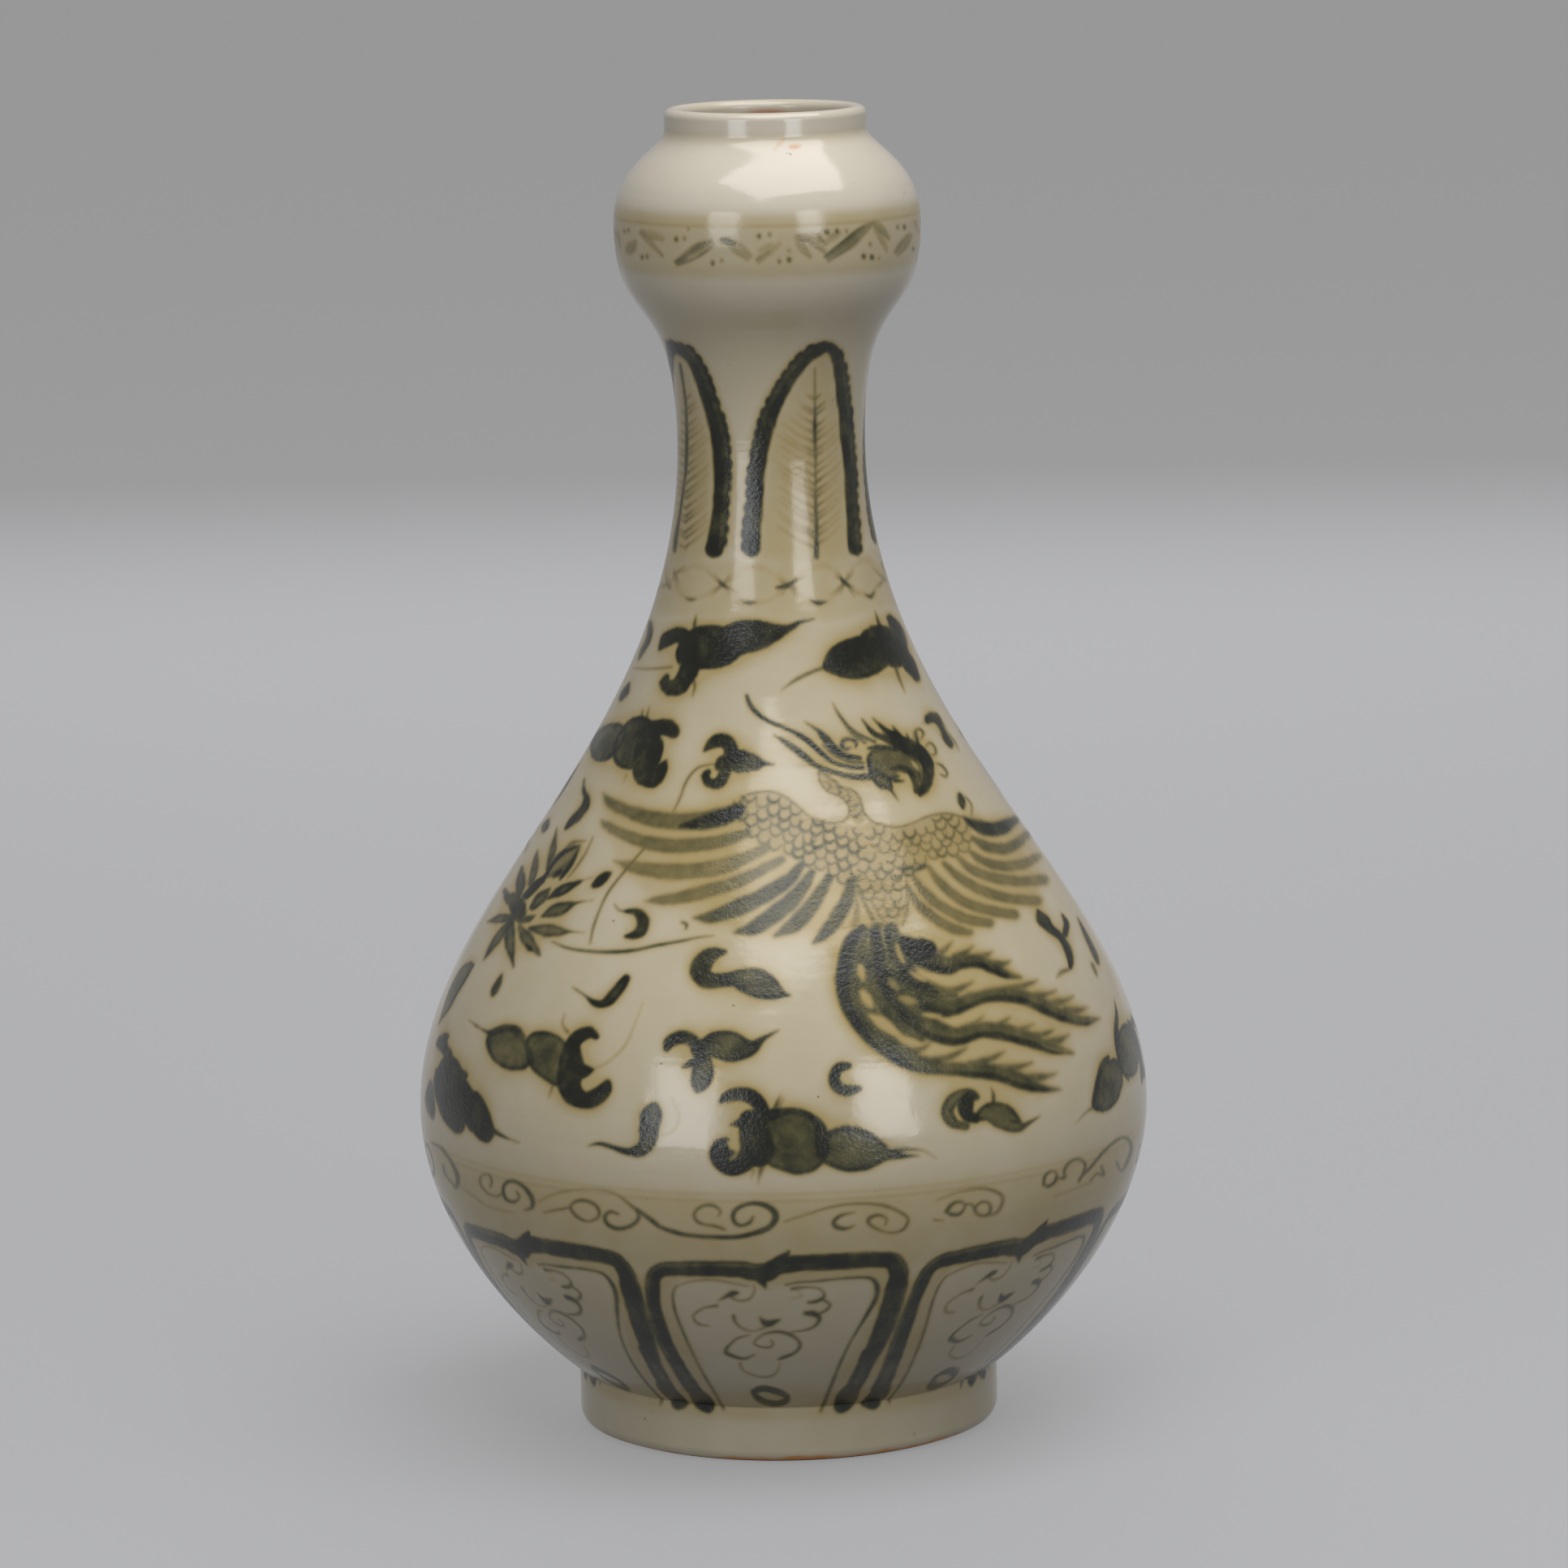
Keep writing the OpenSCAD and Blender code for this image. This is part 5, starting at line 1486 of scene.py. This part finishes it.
class Nodes:
    """Small helper that adds and links shader nodes."""

    def __init__(self, name):
        self.material = bpy.data.materials.new(name)
        self.material.use_nodes = True
        self.tree = self.material.node_tree
        self.tree.nodes.clear()
        self.shader = self.add("ShaderNodeBsdfPrincipled")
        output = self.add("ShaderNodeOutputMaterial")
        self.link(self.shader.outputs[0], output.inputs[0])

    def add(self, kind, **settings):
        node = self.tree.nodes.new(kind)
        for key, value in settings.items():
            setattr(node, key, value)
        return node

    def link(self, source, target):
        self.tree.links.new(source, target)

    def feed(self, target, value):
        if isinstance(value, bpy.types.NodeSocket):
            self.link(value, target)
        else:
            target.default_value = value

    def surface(self, **values):
        """Set the shader's sockets, whose names have a space for each underscore."""
        for name, value in values.items():
            self.feed(self.shader.inputs[name.replace("_", " ")], value)

    def math(self, operation, a, b, clamp=False):
        node = self.add("ShaderNodeMath", operation=operation, use_clamp=clamp)
        self.feed(node.inputs[0], a)
        self.feed(node.inputs[1], b)
        return node.outputs[0]

    def times(self, value, share, clamp=False):
        return self.math("MULTIPLY", value, share, clamp)

    def scaled(self, value, gain, offset):
        return self.math("ADD", self.times(value, gain), offset)

    def height(self, low, high):
        """Share from 0 to 1 between two heights in metres."""
        axes = self.add("ShaderNodeSeparateXYZ")
        self.link(self.place(), axes.inputs[0])
        node = self.add("ShaderNodeMapRange")
        self.link(axes.outputs[2], node.inputs["Value"])
        node.inputs["From Min"].default_value = low
        node.inputs["From Max"].default_value = high
        return node.outputs[0]

    def mix(self, factor, a, b, blend="MIX"):
        node = self.add("ShaderNodeMix", data_type="RGBA", blend_type=blend, clamp_factor=True)
        self.feed(node.inputs[MIX_FACTOR], factor)
        self.feed(node.inputs[MIX_A], a)
        self.feed(node.inputs[MIX_B], b)
        return node.outputs[MIX_RESULT]

    def place(self, stretch=(1.0, 1.0, 1.0)):
        coordinates = self.add("ShaderNodeTexCoord")
        mapping = self.add("ShaderNodeMapping")
        mapping.inputs["Scale"].default_value = stretch
        self.link(coordinates.outputs["Object"], mapping.inputs["Vector"])
        return mapping.outputs[0]

    def noise(self, scale, detail=3.0, rough=0.5, stretch=(1.0, 1.0, 1.0)):
        node = self.add("ShaderNodeTexNoise")
        node.inputs["Scale"].default_value = scale
        node.inputs["Detail"].default_value = detail
        node.inputs["Roughness"].default_value = rough
        self.link(self.place(stretch), node.inputs["Vector"])
        return node.outputs["Fac"]

    def ramp(self, value, stops):
        node = self.add("ShaderNodeValToRGB")
        self.feed(node.inputs[0], value)
        elements = node.color_ramp.elements
        while len(elements) < len(stops):
            elements.new(0.5)
        for element, (position, colour) in zip(elements, stops):
            element.position = position
            element.color = colour
        return node.outputs[0]

    def fade(self, value, low, high, most=1.0):
        """Share that rises from nothing at low to the most at high."""
        return self.ramp(value, [(low, grey(0)), (high, grey(most))])

    def bump(self, height, strength, distance, base=None):
        node = self.add("ShaderNodeBump")
        node.inputs["Strength"].default_value = strength
        node.inputs["Distance"].default_value = distance
        self.feed(node.inputs["Height"], height)
        if base is not None:
            self.link(base, node.inputs["Normal"])
        return node.outputs[0]


GLAZE_IOR = 1.5
IVORY_PALE = srgb(193, 184, 165)
IVORY_WARM = srgb(186, 174, 147)
IVORY_DULL = srgb(178, 168, 146)
# Whiter ivory: the lip's own colour inside the mouth, and the painted sheen from the bulb's top up
IVORY_LIP_AND_SHEEN = srgb(196, 187, 170)
# Tan of the stain, also used for the painted shade of the lowest belly
STAIN_AND_SHADE_TAN = srgb(167, 149, 104)
SPECK_BROWN = srgb(112, 82, 52)
RUST_RED = srgb(184, 120, 48)
# Painted sheen: the glaze turns whiter between these heights in metres and stays so above, from the bulb's
# top up, as the overhead light's broad reflection
SHEEN_LOW = 0.287
SHEEN_HIGH = 0.291
# Share of light that each tone of ink lets through the glaze: thin ink is ochre, thick ink a green black
INK_STOPS = [
    (0.0, (1.0, 1.0, 1.0, 1.0)),
    (0.12, (0.93, 0.885, 0.78, 1.0)),
    (0.28, (0.74, 0.705, 0.57, 1.0)),
    (0.45, (0.47, 0.475, 0.375, 1.0)),
    (0.63, (0.235, 0.26, 0.2, 1.0)),
    (0.78, (0.09, 0.112, 0.092, 1.0)),
    (0.9, (0.031, 0.039, 0.033, 1.0)),
    (1.0, (0.018, 0.022, 0.02, 1.0)),
]
# Stretch of a noise that lies in rings, like the marks of throwing
THROWN_GLAZE = (3.0, 3.0, 190.0)
THROWN_CLAY = (6.0, 6.0, 900.0)


def painted_colour(n, ink_amount, stain_and_shade_amount, rust_amount):
    """Ivory glaze with its clouds and a painted sheen from the bulb's top up, then stain with some painted
    shade, ink, iron specks and rust.
    """
    cloudy = n.fade(n.noise(scale=26.0, detail=4.0, rough=0.55), low=0.35, high=0.7)
    ivory = n.mix(n.times(cloudy, share=0.7), IVORY_PALE, IVORY_WARM)
    dull = n.times(n.noise(scale=160.0, detail=4.0, rough=0.6), share=0.4)
    ivory = n.mix(dull, ivory, IVORY_DULL)
    # Painted sheen: whiter ivory from the bulb's top up, for the overhead light's broad reflection
    ivory = n.mix(n.times(n.height(SHEEN_LOW, SHEEN_HIGH), share=0.75), ivory, IVORY_LIP_AND_SHEEN)
    uneven = n.scaled(n.noise(scale=110.0, detail=4.0), gain=0.9, offset=0.6)
    stained = n.mix(n.times(stain_and_shade_amount, uneven, clamp=True), ivory, STAIN_AND_SHADE_TAN)
    wash = n.fade(n.noise(scale=190.0, detail=4.0, rough=0.6), low=0.32, high=0.68)
    density = n.times(ink_amount, n.scaled(wash, gain=0.3, offset=0.82), clamp=True)
    painted = n.mix(1.0, stained, n.ramp(density, INK_STOPS), "MULTIPLY")
    specks = n.fade(n.noise(scale=560.0, detail=1.0, rough=0.4), low=0.8, high=0.84, most=0.6)
    specked = n.mix(specks, painted, SPECK_BROWN)
    blotches = n.scaled(n.noise(scale=330.0), gain=1.2, offset=0.3)
    return n.mix(n.times(rust_amount, blotches, clamp=True), specked, RUST_RED)


def glaze_material():
    n = Nodes("painted_glaze")
    paint = n.add("ShaderNodeAttribute", attribute_name="paint")
    parts = n.add("ShaderNodeSeparateColor")
    n.link(paint.outputs["Color"], parts.inputs[0])
    ink_amount, stain_and_shade_amount, rust_amount = parts.outputs
    worn = n.scaled(n.noise(scale=210.0), gain=0.1, offset=0.09)
    throwing = n.noise(scale=1.0, detail=2.0, stretch=THROWN_GLAZE)
    rings = n.bump(throwing, strength=0.18, distance=0.0006)
    peel = n.bump(n.noise(scale=150.0), strength=0.1, distance=0.001, base=rings)
    grit = n.scaled(n.noise(scale=1100.0, rough=0.65), gain=1.0, offset=-0.5)
    n.surface(Base_Color=painted_colour(n, ink_amount, stain_and_shade_amount, rust_amount),
              IOR=GLAZE_IOR,
              Roughness=n.math("ADD", worn, n.times(ink_amount, share=0.06)),
              Normal=n.bump(n.times(grit, ink_amount), strength=0.3, distance=0.0005, base=peel))
    return n.material


# Inside of the mouth: drifting browns, darker patches, and one iron stain with its place in metres
MOUTH_STOPS = [(0.3, srgb(176, 160, 134)), (0.7, srgb(150, 126, 96))]
MOUTH_PATCH = srgb(132, 92, 60)
MOUTH_STAIN = srgb(164, 98, 50)
MOUTH_STAIN_AT = (0.0005, 0.0195, 0.3072)
MOUTH_STAIN_STRETCH = (0.5, 1.0, 4.0)
# Strength of that stain by the distance from its middle, in hundredths of a metre
MOUTH_STAIN_GAIN = 100.0
MOUTH_STAIN_STOPS = [(0.1, grey(0.65)), (0.34, grey(0))]
# The lip's colour sets in between these heights in metres; below them the darker browns are partly painted
# shade of the mouth's depth
LIP_LOW = 0.304
LIP_HIGH = 0.3084


def inner_material():
    """Inner glaze: pale at the lip like the outside, brown and uneven deeper down, where the darker browns
    are partly painted shade of the narrow mouth.
    """
    n = Nodes("mouth_glaze")
    drift = n.ramp(n.noise(scale=60.0, detail=4.0, rough=0.6), MOUTH_STOPS)
    patches = n.fade(n.noise(scale=150.0, detail=5.0, rough=0.65), low=0.45, high=0.72, most=0.8)
    deep = n.mix(patches, drift, MOUTH_PATCH)
    lip = n.mix(n.times(n.noise(scale=120.0, detail=4.0), share=0.7), IVORY_LIP_AND_SHEEN, IVORY_WARM)
    # Below the lip the darker browns are partly painted shade of the deep, narrow mouth
    body = n.mix(n.height(LIP_LOW, LIP_HIGH), deep, lip)
    away = n.add("ShaderNodeVectorMath", operation="DISTANCE")
    n.link(n.place(MOUTH_STAIN_STRETCH), away.inputs[0])
    away.inputs[1].default_value = tuple(p * s for p, s in zip(MOUTH_STAIN_AT, MOUTH_STAIN_STRETCH))
    stain = n.ramp(n.times(away.outputs["Value"], MOUTH_STAIN_GAIN), MOUTH_STAIN_STOPS)
    n.surface(Base_Color=n.mix(stain, body, MOUTH_STAIN),
              IOR=GLAZE_IOR,
              Roughness=n.scaled(n.noise(scale=240.0), gain=0.16, offset=0.14),
              Normal=n.bump(n.noise(scale=300.0, rough=0.55), strength=0.12, distance=0.0005))
    return n.material


CLAY_STOPS = [(0.3, srgb(120, 72, 50)), (0.55, srgb(148, 94, 64)), (0.75, srgb(166, 118, 86))]
CLAY_GRIT = srgb(58, 42, 32)


def clay_material():
    n = Nodes("bare_stoneware")
    body = n.ramp(n.noise(scale=70.0, detail=5.0, rough=0.6), CLAY_STOPS)
    grit = n.fade(n.noise(scale=1500.0, detail=2.0), low=0.62, high=0.74, most=0.7)
    pits = n.bump(n.noise(scale=900.0, detail=4.0, rough=0.65), strength=0.5, distance=0.0006)
    throwing = n.noise(scale=1.0, detail=2.0, stretch=THROWN_CLAY)
    n.surface(Base_Color=n.mix(grit, body, CLAY_GRIT),
              Roughness=n.scaled(n.noise(scale=500.0), gain=0.2, offset=0.66),
              Normal=n.bump(throwing, strength=0.3, distance=0.0006, base=pits))
    return n.material


SLIP_STOPS = [(0.3, srgb(196, 172, 140)), (0.7, srgb(214, 194, 164))]


def slip_material():
    n = Nodes("luting_slip")
    n.surface(Base_Color=n.ramp(n.noise(scale=120.0, detail=4.0, rough=0.55), SLIP_STOPS),
              Roughness=n.scaled(n.noise(scale=400.0), gain=0.15, offset=0.7),
              Normal=n.bump(n.noise(scale=800.0), strength=0.25, distance=0.0004))
    return n.material


# Meshes

def sweep(name, loop, columns):
    """Closed ring: a loop of (radius, height) points turned round the axis."""
    azimuth = np.arange(columns) * 2 * math.pi / columns
    places = turned(loop * MM, azimuth)
    index = np.arange(len(loop) * columns).reshape(len(loop), columns)
    up = np.roll(index, -1, axis=0)
    quads = np.stack([index, np.roll(index, -1, axis=1), np.roll(up, -1, axis=1), up], axis=2)
    mesh = bpy.data.meshes.new(name)
    mesh.vertices.add(index.size)
    mesh.vertices.foreach_set("co", places.astype(np.float32).ravel())
    mesh.loops.add(quads.size)
    mesh.loops.foreach_set("vertex_index", quads.astype(np.int32).ravel())
    mesh.polygons.add(index.size)
    mesh.polygons.foreach_set("loop_start", np.arange(0, quads.size, 4, dtype=np.int32))
    mesh.update(calc_edges=True)
    mesh.polygons.foreach_set("use_smooth", np.ones(index.size, bool))
    piece = bpy.data.objects.new(name, mesh)
    bpy.context.scene.collection.objects.link(piece)
    return piece, azimuth


# Share of the UV square below the strip for the hidden back, and the gap round each part of it
UV_TOP = 0.94
UV_GAP = 0.006


def unwrap(mesh, face_rows, rows, columns, sectors):
    """UV map: the painted face in stacked sectors, the hidden back in a strip on top."""
    wide = columns // sectors
    i = np.repeat(np.arange(rows)[:, None], columns, axis=1)
    j = np.repeat(np.arange(columns)[None, :], rows, axis=0)
    sector = np.minimum(j // wide, sectors - 1)
    corners_i = np.stack([i, i, i + 1, i + 1], axis=2)
    corners_j = np.stack([j, j + 1, j + 1, j], axis=2)
    high = UV_TOP / sectors
    u = UV_GAP + (corners_j - sector[..., None] * wide) / wide * (1 - 2 * UV_GAP)
    v = sector[..., None] * high + UV_GAP + corners_i / (face_rows - 1) * (high - 2 * UV_GAP)
    hidden = (corners_i.max(axis=2) > face_rows - 1)[..., None]
    back_rows = rows - face_rows + 1
    back_u = UV_GAP + corners_j / columns * (1 - 2 * UV_GAP)
    back_v = UV_TOP + UV_GAP + (corners_i - face_rows + 1) / back_rows * (1 - UV_TOP - 2 * UV_GAP)
    uv = np.stack([np.where(hidden, back_u, u), np.where(hidden, back_v, v)], axis=3)
    layer = mesh.uv_layers.new(name="OFBake")
    layer.data.foreach_set("uv", uv.astype(np.float32).ravel())


# Each ring of outer glaze: name, lowest and highest height, columns, height of a row, stacked UV sectors.
# Heights are in millimetres, and None is the end of the outline
GLAZE_RINGS = [
    ("glaze_foot", None, 13.5, 800, 0.5, 4),
    ("glaze_lower_belly", 13.5, 47.0, 1480, 0.36, 4),
    ("glaze_girth", 47.0, 84.0, 1520, 0.36, 4),
    ("glaze_belly", 84.0, 118.0, 1520, 0.36, 4),
    ("glaze_shoulder", 118.0, 155.0, 1400, 0.36, 4),
    ("glaze_upper_shoulder", 155.0, 205.0, 1080, 0.36, 3),
    ("glaze_neck", 205.0, 252.0, 720, 0.3, 2),
    ("glaze_bulb", 252.0, 294.0, 1000, 0.3, 2),
    ("glaze_mouth", 294.0, None, 720, 0.36, 3),
]
# The hidden back of a ring has one row for so many of its face, and at least the second number
BACK_ROW_SHARE = 8
BACK_ROWS_LEAST = 4


def ring_section(low, high, row_mm):
    """A ring's face as lengths along the outline, its closed section, and the directions out of it."""
    start = 0.0 if low is None else float(s_at_height(low))
    end = TOTAL_S if high is None else float(s_at_height(high))
    rows = int(math.ceil((end - start) / row_mm)) + 1
    face_s = np.linspace(start, end, rows)
    back_s = np.linspace(end, start, max(BACK_ROWS_LEAST, rows // BACK_ROW_SHARE))
    back_slope = outline_slope(back_s)
    loop = np.concatenate([place_at(face_s), place_at(back_s) - GLAZE_BACK * back_slope])
    slopes = np.concatenate([outline_slope(face_s), -back_slope])
    return face_s, loop, slopes


def lay_paint(mesh, layers, face_s, azimuth, loop_rows):
    """Write ink, stain with some painted shade, and rust to the ring's corners, as red, green and blue."""
    colour = np.zeros((loop_rows, len(azimuth), 4), np.float32)
    colour[..., 3] = 1.0
    for channel, layer in enumerate(layers):
        colour[:len(face_s), :, channel] = sample(layer, face_s, azimuth)
    attribute = mesh.attributes.new("paint", "FLOAT_COLOR", "POINT")
    attribute.data.foreach_set("color", colour.ravel())


def make_glaze(material, layers):
    for name, low, high, columns, row_mm, sectors in GLAZE_RINGS:
        face_s, loop, slopes = ring_section(low, high, row_mm)
        piece, azimuth = sweep(name, loop, columns)
        mesh = piece.data
        lay_paint(mesh, layers, face_s, azimuth, len(loop))
        unwrap(mesh, len(face_s), len(loop), columns, sectors)
        normals = turned(slopes, azimuth).reshape(-1, 3)
        mesh.normals_split_custom_set_from_vertices(normals.astype(np.float32))
        mesh.materials.append(material)
        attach(piece, "root")
        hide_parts("outer_glaze")


INNER_COLUMNS = 240
INNER_SECTORS = 2
INNER_ARC_COUNT = 16
INNER_CURVE_COUNT = 60
# Corners on the axis closer than this, in metres, are one
POLE_JOIN = 1e-7


def inner_outline():
    """Face of the inner glaze, from the crest of the lip down to the middle of the floor."""
    parts = [arc(LIP_MID, LIP_R, 90, 180, INNER_ARC_COUNT), np.array([(MOUTH_R, CROWN[1])])]
    curves = (CROWN_CURVE, BULB_CURVE, HIGH_CURVE, LOW_CURVE)
    walls = WALL_ENDS[::-1]
    for curve, top_wall, low_wall in zip(curves, walls, walls[1:]):
        points, outward = bezier(curve, INNER_CURVE_COUNT)
        wall = np.linspace(low_wall, top_wall, INNER_CURVE_COUNT)[:, None]
        parts.append((points - (wall + 2 * GLAZE_T) * outward)[::-1])
    low = parts[-1][-1]
    parts.append(np.array([(low[0] - FLOOR_BEVEL, FLOOR_Z + GLAZE_T), (0.0, FLOOR_Z + GLAZE_T)]))
    return join(parts)


def close_pole(mesh):
    """Join the rows of corners that meet on the axis."""
    edit = bmesh.new()
    edit.from_mesh(mesh)
    bmesh.ops.remove_doubles(edit, verts=edit.verts, dist=POLE_JOIN)
    loose = [edge for edge in edit.edges if not edge.link_faces]
    bmesh.ops.delete(edit, geom=loose, context="EDGES")
    edit.to_mesh(mesh)
    edit.free()


def make_inner_glaze(material):
    face = inner_outline()
    run = unit(np.gradient(face, axis=0))
    into_wall = np.stack([-run[:, 1], run[:, 0]], axis=1)
    back = (face + GLAZE_BACK * into_wall)[::-1]
    back[:, 0] = np.maximum(back[:, 0], 0.0)
    loop = np.concatenate([face, back])
    piece = sweep("glaze_inside", loop, INNER_COLUMNS)[0]
    unwrap(piece.data, len(face), len(loop), INNER_COLUMNS, INNER_SECTORS)
    close_pole(piece.data)
    piece.data.materials.append(material)
    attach(piece, "root")
    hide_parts("inner_glaze")


CLAY_NODES = ["foot_ring", "lower_belly", "upper_belly", "neck", "garlic_bulb", "mouth_collar"]
SLIP_NODES = ["foot_slip", "belly_slip", "neck_slip", "bulb_slip", "collar_slip"]


def dress_cad(clay, slip):
    for names, material in ((CLAY_NODES, clay), (SLIP_NODES, slip)):
        for name in names:
            piece = bpy.data.objects[name]
            piece.data.materials.clear()
            piece.data.materials.append(material)


# Stage and light

# Width of the floor in metres
FLOOR_SIZE = 60.0
# Colours of floor and backdrop as they are seen, and the light that they give the vase
FLOOR_SEEN = srgb(114, 114, 116)
FLOOR_BOUNCE = srgb(68, 65, 60)
FLOOR_GLOW = 0.26
FLOOR_ROUGH = 0.85
FLOOR_SHINE = 0.1
WORLD_SEEN = srgb(154, 154, 156)
WORLD_LIGHT = 0.23


def seen_directly(tree):
    """Camera, glossy and transmission rays, which all see the background's own colour."""
    path = tree.nodes.new("ShaderNodeLightPath")
    rays = path.outputs["Is Camera Ray"]
    for kind in ("Is Glossy Ray", "Is Transmission Ray"):
        either = tree.nodes.new("ShaderNodeMath")
        either.operation = "MAXIMUM"
        tree.links.new(rays, either.inputs[0])
        tree.links.new(path.outputs[kind], either.inputs[1])
        rays = either.outputs[0]
    return rays


def make_floor():
    mesh = bpy.data.meshes.new("floor")
    half = FLOOR_SIZE / 2
    corners = [(-half, -half, 0), (half, -half, 0), (half, half, 0), (-half, half, 0)]
    mesh.from_pydata(corners, [], [(0, 1, 2, 3)])
    floor = bpy.data.objects.new("floor", mesh)
    bpy.context.scene.collection.objects.link(floor)
    n = Nodes("studio_floor")
    seen = seen_directly(n.tree)
    n.surface(Base_Color=n.mix(seen, FLOOR_BOUNCE, FLOOR_SEEN),
              Emission_Color=grey(1.0),
              Emission_Strength=n.times(seen, FLOOR_GLOW),
              Roughness=FLOOR_ROUGH,
              Specular_IOR_Level=FLOOR_SHINE)
    mesh.materials.append(n.material)


def make_world():
    world = bpy.data.worlds.new("studio")
    bpy.context.scene.world = world
    world.use_nodes = True
    tree = world.node_tree
    seen = tree.nodes.new("ShaderNodeMix")
    seen.data_type = "RGBA"
    seen.inputs[MIX_A].default_value = grey(WORLD_LIGHT)
    seen.inputs[MIX_B].default_value = WORLD_SEEN
    tree.links.new(seen_directly(tree), seen.inputs[MIX_FACTOR])
    tree.links.new(seen.outputs[MIX_RESULT], tree.nodes["Background"].inputs["Color"])


# The place that all lamps face, in metres
LIGHT_TARGET = (0.0, 0.0, 0.14)
# The lamp behind the vase only fills its back, and leaves no shine on the rims
BACK_FILL = "rear"
# Each softbox: name, azimuth from the camera and elevation in degrees, distance, width and height in
# metres, watts, colour
SOFTBOXES = [
    ("left_window", -32.0, 11.5, 1.5, 0.56, 0.80, 5.6, (0.93, 0.97, 1.04)),
    ("right_window", 32.0, 13.5, 1.5, 0.48, 0.72, 4.9, (0.93, 0.97, 1.04)),
    ("overhead", 33.0, 72.0, 1.5, 1.7, 1.2, 22.5, (0.98, 0.99, 1.03)),
    ("rear", 180.0, 24.0, 1.6, 1.6, 0.9, 11.0, (0.98, 0.99, 1.03)),
]


def make_lights():
    target = Vector(LIGHT_TARGET)
    for name, azimuth, elevation, distance, width, height, watts, colour in SOFTBOXES:
        a = math.radians(azimuth)
        e = math.radians(elevation)
        away = Vector((math.sin(a) * math.cos(e), -math.cos(a) * math.cos(e), math.sin(e)))
        data = bpy.data.lights.new(name, "AREA")
        data.shape = "RECTANGLE"
        data.size = width
        data.size_y = height
        data.energy = watts
        data.color = colour
        lamp = bpy.data.objects.new(name, data)
        lamp.location = target + away * distance
        lamp.rotation_euler = away.to_track_quat("Z", "Y").to_euler()
        lamp.visible_glossy = name != BACK_FILL
        bpy.context.scene.collection.objects.link(lamp)


make_camera()
make_floor()
make_world()
make_lights()
dress_cad(clay_material(), slip_material())
make_glaze(glaze_material(), paint_all())
make_inner_glaze(inner_material())
bpy.context.scene.view_settings.view_transform = "Standard"
